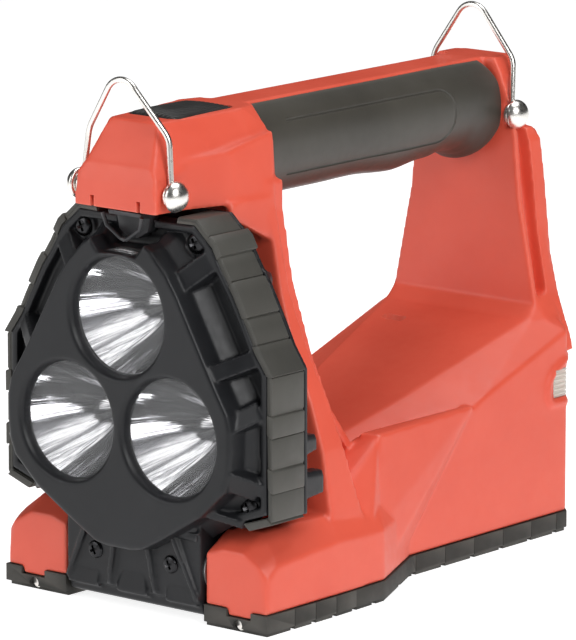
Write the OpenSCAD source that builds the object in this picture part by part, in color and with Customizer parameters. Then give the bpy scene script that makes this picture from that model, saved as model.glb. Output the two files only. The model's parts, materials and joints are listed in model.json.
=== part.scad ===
// Rechargeable hand lantern for firefighters: a tilting three-lamp head in front
// of a moulded body with a closed handle, a rubber foot and two wire bails.
// Millimetres. +Z up, -Y is the way the lamps shine, origin under the middle.

/* [Body] */
// Height of the top of the handle above the ground
handle_top = 184.5; // [182:0.5:188]
// Distance from the front of the lamp face to the rear of the body
overall_len = 223; // [222:0.5:224]
// Width across the two front feet
feet_w = 127; // [126:0.5:128]
// Width of the rear of the body
rear_w = 93; // [92:0.5:96]
// Wall thickness of the moulded body
wall = 3; // [2.5:0.25:3.5]
// Height of the rubber boot under the body
boot_h = 8; // [7:0.5:9]

/* [Handle] */
// Width of the rubber grip
grip_w = 36; // [34:0.5:37]
// Height of the rubber grip's underside above the ground
grip_bottom = 147; // [146:0.5:150]
// Width of the red spine along the top of the handle
spine_w = 18; // [16:0.5:20]

/* [Head] */
// Width of the bumper round the head
head_w = 131; // [129:0.5:132]
// Height of the top of the bumper above the ground
head_top = 151; // [149:0.5:151]
// Radius of each lamp opening in the face
lamp_r = 23.4; // [22.8:0.1:23.6]
// Sideways distance of the two lower lamps from the middle
lamp_dx = 24.8; // [24.6:0.1:25.2]
// Height of the two lower lamps
lamp_low = 70; // [69:0.5:71]
// Height of the upper lamp
lamp_high = 113; // [112:0.5:114]
// Depth of each reflector
reflector_depth = 28; // [26:0.5:29]

/* [Head hinge] */
// Height of the hinge pin above the ground
pin_z = 20; // [19.5:0.5:20.5]
// Distance of the hinge pin behind the lamp face
pin_back = 19.5; // [19:0.5:20]
// Radius of the hinge pin
pin_r = 2.5; // [2:0.25:3]
// Radial running clearance of the head on its pin
pin_clear = 0.05; // [0.02:0.01:0.1]

/* [Bails] */
// Radius of the bail wire
wire_r = 1.15; // [1:0.05:1.3]
// Height of each bail above its rivets
bail_h = 42; // [40:0.5:44]
// Radius of the domed rivet heads
rivet_r = 5.75; // [5:0.25:6]

/* [Hidden] */
$fn = 48;

front = -overall_len / 2;
rear = overall_len / 2;
foot_x = feet_w / 2;
rear_x = rear_w / 2;
foot_front = front + 10;
foot_in = 34;
pin_y = front + pin_back;
ring_front = front + 11;
ring_back = front + 30;
shell_back = front + 51.5;
tongue_r = 18.5;
recess_r = 19.5;
deck_slope = 0.34;
pillar_front = rear - 17;
wall_y = front + 53;
hood_floor = 152;
rivet_x = 22.4;
front_rivet = [front + 7, 158.5];
rear_rivet = [rear - 14.2, 162.9];
swing_r = head_top - pin_z + 0.4;
bezel_in = 3.4;

// ---------- helpers ----------

// Half outline with x >= 0, closed by its mirror image.
function mirrored(p) = concat(p, [for (i = [len(p) - 1:-1:0]) [-p[i][0], p[i][1]]]);

// A profile drawn as [y, z], extruded along X over the width w.
module along_x(w) {
    rotate([90, 0, 90]) linear_extrude(w, center = true) children();
}

// An outline drawn as [x, z], extruded along Y from y0 to y1.
module along_y(y0, y1) {
    translate([0, y1, 0]) rotate([90, 0, 0]) linear_extrude(y1 - y0) children();
}

// A cylinder lying along X, centred on [x, y, z].
module bar_x(x, y, z, r, len) {
    translate([x, y, z]) rotate([0, 90, 0]) cylinder(r = r, h = len, center = true);
}

// A cylinder lying along Y from y0 to y1.
module bar_y(x, z, r, y0, y1) {
    translate([x, y1, z]) rotate([90, 0, 0]) cylinder(r = r, h = y1 - y0);
}

// A box given by its lowest and highest corners.
module block(lo, hi) {
    translate(lo) cube(hi - lo);
}

module both_sides() {
    children();
    mirror([1, 0, 0]) children();
}

// A round wire of radius r along a path that never runs along Y.
module wire(path, r, sides = 12) {
    last = len(path) - 1;
    tangents = [for (i = [0:last]) path[min(i + 1, last)] - path[max(i - 1, 0)]];
    points = [for (i = [0:last]) let (
        u = cross(tangents[i], [0, 1, 0]) / norm(cross(tangents[i], [0, 1, 0])),
        v = cross(tangents[i], u) / norm(cross(tangents[i], u)))
        for (k = [0:sides - 1]) path[i] + r * (u * cos(360 * k / sides) + v * sin(360 * k / sides))];
    walls = [for (i = [0:last - 1], k = [0:sides - 1]) [
        i * sides + k, (i + 1) * sides + k,
        (i + 1) * sides + (k + 1) % sides, i * sides + (k + 1) % sides]];
    start = [for (k = [0:sides - 1]) k];
    end = [for (k = [sides - 1:-1:0]) last * sides + k];
    polyhedron(points, concat([start], walls, [end]));
}

// Pan-head screw along -Y: the head sits at y, the shank runs back.
module screw_y(x, y, z, head_r, shank_r, len) {
    difference() {
        bar_y(x, z, head_r, y, y + 2);
        block([x - 1.8, y - 0.1, z - 0.4], [x + 1.8, y + 1.2, z + 0.4]);
        block([x - 0.4, y - 0.1, z - 1.8], [x + 0.4, y + 1.2, z + 1.8]);
    }
    bar_y(x, z, shank_r, y + 2, y + len);
}

// Pan-head screw up from below: the head's underside is at z.
module screw_up(x, y, z, head_r, shank_r, len) {
    translate([x, y, z]) cylinder(r = head_r, h = 2);
    translate([x, y, z + 2]) cylinder(r = shank_r, h = len - 2);
}

// ---------- body outlines ----------

// Plan of the body: wide feet in front, narrowing to the rear.
module body_plan(i = 0) {
    polygon(mirrored([
        [foot_x - i, foot_front + i],
        [foot_x - i, -62],
        [foot_x - 1 - i, -32],
        [rear_x - i, 3 - i * 0.4],
        [rear_x - i, rear - 11],
        [rear_x - 8 - i * 0.5, rear - 3 - i]
    ]));
}

function deck_z(y) = 86 - deck_slope * (pillar_front - y);

// Rear body with its sloping deck and chamfered shoulders, shrunk by i.
module rear_body(i = 0) {
    z0 = i == 0 ? boot_h : boot_h - 1;
    side = rear_x - i;
    deck = rear_x - 11.5 - i * 0.4;
    hull() both_sides() {
        block([0, -20, z0], [side, rear - 11 - i * 0.4, 27 - i]);
        block([0, rear - 14, z0], [side - 8 + i * 0.5, rear - 3 - i, 79 - i]);
        block([0, 45, z0], [side, rear - 11 - i * 0.4, 61 - i]);
        block([0, rear - 12, z0], [side, rear - 11 - i * 0.4, 80 - i]);
        block([0, rear - 18, z0], [deck, rear - 4 - i, deck_z(pillar_front) - i]);
        block([0, -20, z0], [deck, -19, deck_z(-20) - i]);
    }
}

// Front of the body: the two feet and the flared sides, shrunk by i.
module front_body(i = 0) {
    z0 = i == 0 ? boot_h : boot_h - 1;
    intersection() {
        translate([0, 0, z0]) linear_extrude(80) body_plan(i);
        along_x(feet_w + 2) polygon([
            [foot_front + i, z0 - 1], [foot_front + i, 29 - i], [foot_front + 8, 35 - i],
            [foot_front + 14, 36 - i], [wall_y, 36 - i], [-40, 42 - i], [-24, 61 - i],
            [4, 61 - i], [40, 60 - i], [40, z0 - 1]
        ]);
        along_y(front, rear) polygon(mirrored([
            [foot_x - i, z0 - 1], [foot_x - i, 27 - i], [foot_x - 7 - i, 37 - i],
            [rear_x + 8 - i, 61 - i], [0, 62 - i]
        ]));
    }
}

// Nose: the column between the feet and the hood, seen from in front.
module nose_front(i = 0) {
    polygon(mirrored([
        [48 - i, 20], [42 - i, 47], [37.5 - i, 70], [33.5 - i, 92], [29 - i, 120], [25.5 - i, 147],
        [25.5 - i, 158]
    ]));
}

module nose(i = 0) {
    intersection() {
        along_y(wall_y + i, -5) nose_front(i);
        along_x(120) polygon([
            [wall_y + i, 20], [wall_y + i, 158 - i], [-50 - i, 158 - i], [-50 - i, 147],
            [-48 - i, 120], [-41 - i, 92], [-34 - i, 70], [-20 - i, 47], [-6 - i, 20]
        ]);
    }
}

// Red flange that frames the back of the head.
module head_frame() {
    along_y(wall_y, wall_y + 4) polygon(mirrored([
        [59, 33], [54, 60], [49, 77], [41, 96], [34, 117], [28, 152], [28, 156]
    ]));
}

// Hood over the head, with the switch on top; shrunk by i.
module hood(i = 0) {
    z0 = hood_floor + i;
    hull() both_sides() {
        block([0, front + i, z0], [18.3 - i, front + i + 0.5, 158 - i]);
        block([0, front + 2 + i, z0], [22 - i, front + 3 + i, 155]);
        block([0, front + 25, z0], [27 - i, -50 - i, 159]);
        block([0, front + 8 + i, z0], [17 - i, -51 - i, 166 - i]);
        block([0, front + 20 + i, z0], [16 - i, -51 - i, 182 - i]);
        block([0, -62, z0], [15.5 - i, -50 - i, handle_top - i]);
    }
}

// Rear pillar, seen from in front.
module pillar_outline() {
    polygon(mirrored([
        [40, 74], [35, 86], [26.4, 138], [23, 158], [19.4, 164], [17.8, 178], [14, handle_top]
    ]));
}

module rear_pillar() {
    difference() {
        along_y(pillar_front, rear - 3) pillar_outline();
        // rear corners cut back beside the bail
        both_sides() translate([0, 0, 157]) linear_extrude(40) polygon([
            [19.7, rear - 9.8], [8, rear - 2.5], [30, rear + 1], [30, rear - 9.8]
        ]);
        // side channels between the two flanges
        both_sides() intersection() {
            along_y(pillar_front + 4, pillar_front + 9) polygon([
                [34, 88], [24, 156], [20, 156], [29, 88]
            ]);
            block([18, pillar_front, 86], [40, rear, 156]);
        }
    }
    // lip that wraps the end of the grip above the bail's eyelet
    along_y(pillar_front, pillar_front + 1.5) polygon(mirrored([
        [19, 168.5], [21.3, 168.5], [19.5, 174], [16, 180], [14, handle_top]
    ]));
    // rear flange, lower than the handle
    along_y(rear - 9, rear) polygon(mirrored([
        [42, 72], [38.5, 84], [27, 138], [24.5, 154], [20, 156]
    ]));
}

// Core of the handle, which carries the grip.
module handle_core(i = 0) {
    x = spine_w / 2 - i;
    along_y(-54, pillar_front + 4 + i) polygon(mirrored([
        [x, grip_bottom + 7 + i], [x, handle_top - 1 - i], [x - 1.2, handle_top - i]
    ]));
}

// Flat beside each bail so that its eyelets clear the body.
module bail_flats(at, back, fwd, z0) {
    both_sides() block([rivet_x - 2.8, at[0] - fwd, z0], [40, at[0] + back, handle_top + 2]);
}

// ---------- body nodes ----------

module housing_solid() {
    front_body();
    rear_body();
    nose();
    head_frame();
    hood();
    rear_pillar();
    handle_core();
    // red tabs that key the body into the boot
    both_sides() block([45, foot_front, boot_h - 2.6], [56, foot_front + 3, boot_h + 1]);
    // raised rims round the tail lights
    both_sides() tail_band(-0.8, [30, rear - 22.5, 51], [60, rear, 69]);
}

module main_housing() {
    color([0.85, 0.3, 0.22]) difference() {
        housing_solid();
        // inside of the lower body, left solid round the hinge pin
        difference() {
            union() {
                front_body(wall);
                rear_body(wall);
            }
            block([-70, front, 0], [70, pin_y + recess_r + wall, 90]);
            both_sides() for (p = screw_posts) translate([p[0], p[1], 0]) cylinder(r = 4, h = 90);
        }
        nose(wall);
        hood(2.6);
        handle_core(2.6);
        block([-12, pillar_front + 6, 60], [12, rear - 6, 176]);
        // room for the head's tongue between the feet
        intersection() {
            bar_x(0, pin_y, pin_z, recess_r, 2 * foot_in);
            block([-foot_in, front - 1, -1], [foot_in, -60, 60]);
        }
        block([-foot_in, front - 1, -1], [foot_in, pin_y, 60]);
        block([-foot_in, pin_y - 1, pin_z], [foot_in, pin_y + recess_r, 60]);
        bar_x(0, pin_y, pin_z, pin_r + 1.5, 2 * 58);
        // switch opening and the slots of the latch lip
        block([-10.6, front + 20.6, 175], [10.6, front + 52.4, handle_top + 5]);
        both_sides() block([10.5, front - 1, hood_floor - 1], [11.7, front + 7, 156]);
        bail_flats(front_rivet, 6, 9, hood_floor - 1);
        bail_flats(rear_rivet, 15, 5, 157);
        // rivet holes
        bar_x(0, front_rivet[0], front_rivet[1], 2, 60);
        bar_x(0, rear_rivet[0], rear_rivet[1], 2, 60);
        // cable way into the head, tail light windows, indicator and screws
        bar_y(0, 60, 6, wall_y - 1, -40);
        both_sides() block([rear_x - 12, rear - 20, 54], [rear_x + 5, rear - 6, 66]);
        indicator_slot(0, 60, 90);
        both_sides() for (p = screw_posts) translate([p[0], p[1], 0]) cylinder(r = 1.5, h = 22);
    }
}

screw_posts = [[52, -60], [38, -6], [30, 100.5]];
indicator = [-21, 77];

// Round-ended slot of the charge indicator, shrunk by i.
module indicator_slot(i, z0, z1) {
    translate([indicator[0], indicator[1], z0]) linear_extrude(z1 - z0) hull()
        for (x = [-3.6, 3.6]) translate([x, 0]) circle(r = 1.8 - i);
}

module base_cover() {
    color([0.13, 0.13, 0.14]) difference() {
        translate([0, 0, 5]) linear_extrude(boot_h - 5) body_plan(3.5);
        bar_x(0, pin_y, pin_z, recess_r + 1.5, 2 * foot_in + 1);
        block([-foot_in - 0.5, front, 0], [foot_in + 0.5, pin_y, 9]);
        both_sides() for (p = screw_posts) translate([p[0], p[1], 0]) cylinder(r = 1.7, h = 22);
        both_sides() block([44, front, 0], [57, foot_front + 4.6, 12]);
    }
}

boot_grooves = [-86, -74, -62, -50, -38, -10, 6, 24, 42, 60, 78, 94];

module base_boot() {
    color([0.16, 0.16, 0.15]) difference() {
        linear_extrude(boot_h) body_plan(-0.6);
        // seat of the cover
        translate([0, 0, 5]) linear_extrude(boot_h) body_plan(3.2);
        // room for the tongue
        bar_x(0, pin_y, pin_z, recess_r + 1.3, 2 * foot_in);
        block([-foot_in, front, -1], [foot_in, pin_y, 9]);
        // side grooves and sole grooves
        both_sides() for (y = boot_grooves) {
            block([foot_x - 0.4, y, -1], [foot_x + 2, y + 1.2, boot_h + 1]);
            block([rear_x - 0.4, y, -1], [rear_x + 2, y + 1.2, boot_h + 1]);
        }
        for (y = boot_grooves) block([-70, y - 1.4, -1], [70, y + 1.4, 1.6]);
        // keys for the red tabs, contact bores and screw heads
        both_sides() block([44.8, front, boot_h - 2.7], [56.2, foot_front + 3.2, 12]);
        both_sides() bar_y(50, contact_z, 2.2, front, foot_front + 9);
        both_sides() for (p = screw_posts) translate([p[0], p[1], -1]) cylinder(r = 3.4, h = 9);
    }
}

module base_screws() {
    color([0.3, 0.3, 0.32]) both_sides() for (p = screw_posts)
        screw_up(p[0], p[1], 3, 3.1, 1.45, 16);
}

function grip_arc(r_x, r_z, mid, a0, a1, n) =
    [for (i = [0:n]) let (a = a0 + (a1 - a0) * i / n) [r_x * cos(a), mid + r_z * sin(a)]];

module handle_grip() {
    r_z = (handle_top - 1 - grip_bottom) / 2 + 0.3;
    mid = grip_bottom + r_z;
    color([0.2, 0.19, 0.17]) difference() {
        along_y(-49.7, pillar_front - 0.2)
            polygon(mirrored(grip_arc(grip_w / 2, r_z, mid, -90, 72, 22)));
        along_y(-60, pillar_front + 4) polygon(mirrored([
            [spine_w / 2 + 0.05, grip_bottom + 6.95], [spine_w / 2 + 0.05, handle_top + 9]
        ]));
        // recessed outline of the side panels
        both_sides() difference() {
            block([grip_w / 2 - 0.7, -36, 156], [grip_w, 72, 177]);
            block([grip_w / 2 - 3, -34.6, 157.4], [grip_w + 1, 70.6, 175.6]);
        }
    }
}

// ---------- switch ----------

switch_mid = front + 36.5;

module switch_pad() {
    color([0.1, 0.1, 0.1]) {
        difference() {
            hull() {
                block([-10.2, front + 21, 178.5], [10.2, front + 52, 183.8]);
                block([-7, front + 26, 184], [7, front + 47, 185.8]);
            }
            for (y = [front + 24:2.6:front + 50]) block([-11, y, 184.6], [11, y + 0.9, 187]);
        }
    }
}

module switch_plunger() {
    color([0.2, 0.2, 0.2]) translate([0, switch_mid, 169.5]) {
        cylinder(r = 2, h = 3);
        translate([0, 0, 3]) cylinder(r = 5, h = 6);
    }
}

module switch_retainer() {
    color([0.15, 0.15, 0.16]) difference() {
        block([-13, front + 18, hood_floor + 2.7], [13, front + 56, 159]);
        block([-8, front + 24, hood_floor], [8, front + 50, 158]);
    }
}

module switch_board() {
    color([0.1, 0.35, 0.15]) block([-10, front + 22, 159], [10, front + 52, 160.6]);
}

module tact_switch() {
    color([0.55, 0.55, 0.57]) {
        block([-6, switch_mid - 6, 160.6], [6, switch_mid + 6, 165]);
        translate([0, switch_mid, 165]) cylinder(r = 3.2, h = 2.6);
    }
}

// ---------- inside the body ----------

cell_r = 9.2;
cell_y = 30;

module battery_cells() {
    color([0.15, 0.3, 0.6]) for (row = [0, 1], i = [-1.5:1:1.5])
        bar_y(i * 19, 22 + row * 19, cell_r, cell_y, cell_y + 65);
}

module battery_tray() {
    color([0.2, 0.2, 0.2]) difference() {
        block([-40, cell_y - 3, boot_h], [40, cell_y + 68, 24]);
        for (i = [-1.5:1:1.5]) bar_y(i * 19, 22, cell_r + 0.2, cell_y - 0.2, cell_y + 65.2);
        block([-37.7, cell_y - 0.2, 22], [37.7, cell_y + 65.2, 30]);
        both_sides() translate([30, 100.5, 0]) cylinder(r = 4.6, h = 40);
    }
}

module battery_clamp() {
    color([0.3, 0.3, 0.3]) difference() {
        block([-40, cell_y + 22, 24], [40, cell_y + 40, 53]);
        for (row = [0, 1], i = [-1.5:1:1.5])
            bar_y(i * 19, 22 + row * 19, cell_r + 0.2, cell_y, cell_y + 65);
    }
}

module battery_connector() {
    color([0.85, 0.85, 0.8]) difference() {
        block([-8, cell_y - 14, boot_h], [8, cell_y - 4, 18]);
        for (x = [-5, 0, 5]) bar_y(x, 13, 1, cell_y - 15, cell_y - 8);
    }
}

contact_z = 2.6;

module charge_contacts() {
    color([0.8, 0.8, 0.8]) both_sides() {
        bar_y(50, contact_z, 2.15, foot_front + 1.4, foot_front + 8);
    }
}

module control_board() {
    color([0.08, 0.35, 0.18]) difference() {
        block([-30, -44, 14], [30, 10, 15.6]);
        for (x = [-26, 26], y = [-40, 6]) translate([x, y, 10]) cylinder(r = 1.6, h = 9);
    }
}

module board_components() {
    color([0.15, 0.15, 0.15]) {
        block([-20, -34, 15.6], [-8, -22, 18]);
        block([-2, -36, 15.6], [4, -30, 17.2]);
        block([10, -34, 15.6], [22, -24, 20]);
        for (x = [-18, -8, 2]) translate([x, -6, 15.6]) cylinder(r = 4, h = 10);
        block([12, -12, 15.6], [22, 2, 22]);
    }
}

module board_screws() {
    color([0.7, 0.7, 0.72]) for (x = [-26, 26], y = [-40, 6]) translate([x, y, 8]) {
        cylinder(r = 3, h = 6);
        translate([0, 0, 6]) cylinder(r = 1.55, h = 1.6);
        translate([0, 0, 7.6]) cylinder(r = 2.8, h = 1.8);
    }
}

// ---------- tail lights and indicator ----------

// A band that follows the body's outline, cut to a box.
module tail_band(i, lo, hi) {
    intersection() {
        difference() {
            linear_extrude(100) body_plan(i);
            translate([0, 0, -1]) linear_extrude(102) body_plan(1.5);
        }
        block(lo, hi);
    }
}

module tail_lens() {
    color([0.9, 0.88, 0.85, 0.6]) intersection() {
        difference() {
            linear_extrude(100) body_plan(0.1);
            translate([0, 0, -1]) linear_extrude(102) body_plan(2.6);
        }
        block([rear_x - 11.7, rear - 19.7, 54.3], [rear_x + 5, rear - 6.3, 65.7]);
    }
}

module tail_lens_right() tail_lens();
module tail_lens_left() mirror([1, 0, 0]) tail_lens();

module tail_gasket() {
    color([0.1, 0.1, 0.1]) difference() {
        block([rear_x - 8, rear - 20, 54], [rear_x - 3, rear - 14.5, 66]);
        block([rear_x - 9, rear - 19, 55], [rear_x - 1, rear - 13, 65]);
    }
}

module tail_gasket_right() tail_gasket();
module tail_gasket_left() mirror([1, 0, 0]) tail_gasket();

module tail_led() {
    color([0.1, 0.35, 0.15]) block([rear_x - 10, rear - 18, 56], [rear_x - 8.5, rear - 14, 64]);
    color([0.95, 0.9, 0.5]) bar_x(rear_x - 7.5, rear - 16, 60, 1.5, 2);
}

module tail_led_right() tail_led();
module tail_led_left() mirror([1, 0, 0]) tail_led();

module indicator_lens() {
    color([0.9, 0.9, 0.9]) indicator_slot(0.05, 74.5, 78);
}

module indicator_led() {
    color([0.3, 0.8, 0.3]) translate([indicator[0], indicator[1], 71]) cylinder(r = 1.7, h = 3.5);
}

// ---------- bails ----------

// Domed rivet on the +X side: shank through the wall, head outside the eyelet.
module rivet(at) {
    translate([0, at[0], at[1]]) {
        translate([rivet_x - 5.4, 0, 0]) rotate([0, 90, 0]) cylinder(r = 1.95, h = 6);
        translate([rivet_x, 0, 0]) rotate([0, 90, 0]) rotate_extrude() polygon(concat([[0, 0]],
            [for (a = [0:10:90]) [rivet_r * cos(a), (rivet_r - 0.6) * sin(a)]]));
    }
}

module rivets_front() {
    color([0.75, 0.74, 0.7]) both_sides() rivet(front_rivet);
}

module rivets_rear() {
    color([0.75, 0.74, 0.7]) both_sides() rivet(rear_rivet);
}

// Wire bail: two eyelets, two legs and a rounded apex. bend_y and apex_y
// are how far the bend and the apex stand behind the rivets.
module bail(at, bend_y, apex_y) {
    eye_x = rivet_x - 1.4;
    bend = [eye_x - 1.6, bend_y, 0.49 * bail_h];
    apex_r = 8;
    top_z = bail_h - wire_r - apex_r;
    slope = atan2(top_z - bend[2], bend[0]);
    half = concat(
        [[eye_x, 0, 3.3], [eye_x - 0.2, bend_y * 0.15, 6], bend - [-0.1, 0, 2], bend - [0.5, 0, -1.2]],
        [for (a = [90 - slope:10:89]) [apex_r * cos(a), apex_y, top_z + apex_r * sin(a)]]);
    far = [for (i = [len(half) - 1:-1:0]) [-half[i][0], half[i][1], half[i][2]]];
    translate([0, at[0], at[1]]) {
        both_sides() translate([eye_x, 0, 0]) rotate([0, 90, 0])
            rotate_extrude() translate([2.15 + wire_r, 0]) circle(r = wire_r, $fn = 16);
        wire(concat(half, [[0, apex_y, top_z + apex_r]], far), wire_r);
    }
}

module front_bail() {
    color([0.75, 0.75, 0.76]) bail(front_rivet, 1, -2.7);
}

module rear_bail() {
    color([0.75, 0.75, 0.76]) bail(rear_rivet, 2.7, 1.7);
}

// ---------- head hinge ----------

module hinge_pin() {
    color([0.6, 0.6, 0.62]) bar_x(0, pin_y, pin_z, pin_r, 2 * 56);
}

module hinge_bushes() {
    color([0.75, 0.6, 0.25]) both_sides() difference() {
        bar_x(45, pin_y, pin_z, pin_r + 1.5, 22);
        bar_x(45, pin_y, pin_z, pin_r + 0.02, 24);
    }
}

module hinge_end_caps() {
    color([0.15, 0.15, 0.15]) both_sides() bar_x(57, pin_y, pin_z, pin_r + 1.4, 1.8);
}

module friction_washers() {
    color([0.5, 0.5, 0.52]) both_sides() difference() {
        bar_x(33.25, pin_y, pin_z, 9, 0.8);
        bar_x(33.25, pin_y, pin_z, pin_r + pin_clear, 2);
    }
}

module cable_gland() {
    color([0.12, 0.12, 0.12]) difference() {
        union() {
            bar_y(0, 60, 5.9, wall_y + 0.1, wall_y + 6);
            bar_y(0, 60, 8, wall_y + 3.2, wall_y + 6);
        }
        bar_y(0, 60, 2, wall_y - 5, -30);
    }
}

// ---------- head ----------

head_mid = 94;

// Outline of the head's bumper, shrunk towards its middle by i.
module head_outline(i = 0) {
    half = head_w / 2;
    translate([0, head_mid]) scale([1 - i / half, 1 - i / (head_top - head_mid)])
        translate([0, -head_mid]) polygon(mirrored([
            [34, 45], [44, 41], [53, 37.6], [half, 42], [half, 97], [60, 105], [56, 113],
            [49, 126], [43, 135], [38.5, 143], [29.5, head_top]
        ]));
}

// Outline of the frame inside the bumper, which reaches the bottom edge below.
module rim_outline() {
    head_outline(bezel_in);
    intersection() {
        head_outline();
        for (x = [-53.9, 33.4]) translate([x, 36]) square([20.5, 14]);
    }
}

// Raised face plate round the three lamps.
module face_outline(i = 0) {
    polygon(mirrored([
        [8 - i * 0.3, 25.6 + i], [21.4 - i * 0.5, 31.8 + i], [39.5 - i, 42.7 + i],
        [51.1 - i, 53.4 + i * 0.4], [53.6 - i, 59.7], [54.3 - i, 76.7],
        [53 - i, 82.4], [47.4 - i, 91.5], [34.7 - i, 113.5], [24.6 - i, 130],
        [13 - i * 0.5, 140.2 - i], [9, 135.5 - i]
    ]));
}

plate_t = 8;
neck_top = 46;
lamps = [[0, lamp_high], [lamp_dx, lamp_low], [-lamp_dx, lamp_low]];
rim_y = front + 5.6;
top_screw = [27.4, 141];
side_screw = [52.5, 46.5];
low_screw = [18.4, 20.6];

// A rib across the head's face from one [x, z] to another.
module face_rib(p, q, w, y0, y1) {
    d = q - p;
    translate([p[0], 0, p[1]]) rotate([0, -atan2(d[1], d[0]), 0])
        block([0, y0, -w / 2], [norm(d), y1, w / 2]);
}

module head_bezel() {
    color([0.12, 0.12, 0.13]) difference() {
        union() {
            hull() {
                along_y(front, front + 0.5) face_outline(0.8);
                along_y(front + 1, front + 1.5) face_outline();
            }
            along_y(front + 1.4, front + 16) face_outline();
            // pan behind the pockets, and the frame round them
            along_y(front + 16, front + 21) rim_outline();
            difference() {
                along_y(ring_front, front + 17) rim_outline();
                along_y(ring_front - 1, front + 18) head_outline(bezel_in + 2.6);
            }
            intersection() {
                both_sides() {
                    face_rib([24, 129], [43, 134], 4.5, ring_front, front + 17);
                    face_rib([44, 96], [60, 101], 5, front + 5, front + 17);
                    face_rib([50, 79], [63, 79], 5, front + 8, front + 17);
                    face_rib([50, 56], [63, 54], 4, front + 6, front + 17);
                    face_rib([38, 46], [50, 41], 3, ring_front, front + 17);
                }
                along_y(front, front + 17) rim_outline();
            }
            both_sides() {
                bar_y(top_screw[0], top_screw[1], 5, front + 14, front + 17);
                bar_y(side_screw[0], side_screw[1], 4.4, front + 14, front + 17);
            }
        }
        // seat of the latch tab, and room for the neck under the lamps
        block([-9.6, front + 3, 139.8], [9.6, front + 16, head_top + 1]);
        block([-33, front + plate_t, 20], [33, front + 30, neck_top + 0.1]);
        for (p = lamps) {
            bar_y(p[0], p[1], lamp_r, front - 1, rim_y);
            bar_y(p[0], p[1], 24.2, rim_y - 2, front + 22);
        }
        both_sides() {
            bar_y(top_screw[0], top_screw[1], 1.7, front, front + 30);
            bar_y(top_screw[0], top_screw[1], 3.8, front + 7, front + 14);
            bar_y(side_screw[0], side_screw[1], 1.7, front, front + 30);
            bar_y(side_screw[0], side_screw[1], 3.8, front + 7, front + 14);
        }
    }
}

// Rubber bumper: blocks round the head, parted by fine grooves.
bumper_cuts = [48, 62, 76, 97, 117, 129, 138];

module head_bumper() {
    color([0.22, 0.21, 0.19]) difference() {
        along_y(ring_front + 0.2, ring_back) head_outline();
        along_y(ring_front - 1, ring_back + 1) head_outline(bezel_in - 0.05);
        both_sides() for (z = bumper_cuts) block([36, front, z - 0.35], [75, ring_back - 2, z + 0.35]);
        block([-54, front, 20], [54, ring_back + 1, 60]);
        block([-9.8, front, head_top - 8], [9.8, ring_back + 1, head_top + 2]);
    }
}

// Tapered cup behind the bumper, shrunk by i.
module head_cup(i = 0) {
    hull() {
        along_y(ring_back, ring_back + 1) head_outline(bezel_in + 0.1 + i);
        along_y(shell_back - i - 1, shell_back - i) head_outline(21 + i);
    }
}

module head_shell() {
    color([0.14, 0.14, 0.15]) difference() {
        union() {
            difference() {
                union() {
                    head_cup();
                    along_y(ring_back, ring_back + 2) head_outline(0.8);
                    // fingers that steady the head against its red frame
                    both_sides() {
                        block([56, ring_back, 62.5], [63.4, ring_back + 12, 72]);
                        block([56, ring_back, 46], [63.4, ring_back + 16, 58]);
                        block([41, ring_back, 120], [47.5, ring_back + 6, 131]);
                    }
                }
                along_y(front, ring_back + 3) head_outline(bezel_in + 3);
                head_cup(3);
            }
            along_y(front + 26, ring_back + 1) difference() {
                head_outline(bezel_in + 0.2);
                head_outline(bezel_in + 3);
            }
            both_sides() for (p = [top_screw, side_screw]) bar_y(p[0], p[1], 4, front + 22.6, ring_back + 2);
            // tongue that turns on the pin, with its neck up to the cup
            bar_x(0, pin_y, pin_z, tongue_r, 2 * 32.8);
            along_x(2 * 32.8) polygon([
                [pin_y - 14, pin_z + 8], [front + 10, 40], [front + 16.5, neck_top], [ring_back + 4, neck_top],
                [ring_back + 8, 38], [pin_y + 14, pin_z + 8]
            ]);
        }
        // room for the bezel's face plate
        along_y(front - 1, front + plate_t) face_outline(-0.1);
        bar_x(0, pin_y, pin_z, pin_r + pin_clear, 80);
        // pockets between the tongue's gussets
        for (x = [-26, -9.5, 9.5, 26]) block([x - 4.5, front, 9], [x + 4.5, pin_y - 10, 30]);
        both_sides() {
            bar_y(low_screw[0], low_screw[1], 3.4, front, front + 9.5);
            bar_y(low_screw[0], low_screw[1], 1.7, front, pin_y - 5);
            bar_y(top_screw[0], top_screw[1], 1.7, front, front + 40);
            bar_y(side_screw[0], side_screw[1], 1.7, front, front + 40);
        }
        bar_y(0, 60, 5, front + 40, wall_y);
    }
}

module head_gasket() {
    color([0.08, 0.08, 0.08]) along_y(front + 21, front + 22.5) difference() {
        head_outline(bezel_in + 0.5);
        head_outline(6.1);
        both_sides() for (p = [top_screw, side_screw]) translate([p[0], p[1]]) circle(r = 1.9);
    }
}

module latch_tab() {
    color([0.13, 0.13, 0.13]) {
        face_rib([-9, 149], [0, 141], 1.4, front + 4, front + 12);
        face_rib([0, 141], [9, 149], 1.4, front + 4, front + 12);
        block([-8.6, front + 10, 143], [8.6, front + 15.8, 150.4]);
    }
}

module head_screws() {
    color([0.1, 0.1, 0.1]) both_sides() {
        screw_y(top_screw[0], front + 12, top_screw[1], 3.6, 1.6, 16);
        screw_y(side_screw[0], front + 12, side_screw[1], 3.6, 1.6, 16);
        screw_y(low_screw[0], front + 7.5, low_screw[1], 3.2, 1.6, 7);
    }
}

module heat_sink() {
    color([0.6, 0.6, 0.62]) {
        along_y(front + 35.5, front + 40) polygon(mirrored([
            [42, 61], [46, 66], [46, 84], [26, 118], [18, 129]
        ]));
        for (x = [-36:8:36]) block([x - 1, front + 40, 69], [x + 1, front + 46, 90]);
    }
}

// Places a lamp part: its own +Z points out of the face, z = distance along -Y.
module at_lamp(k) {
    translate([lamps[k][0], 0, lamps[k][1]]) rotate([90, 0, 0]) children();
}

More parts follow.
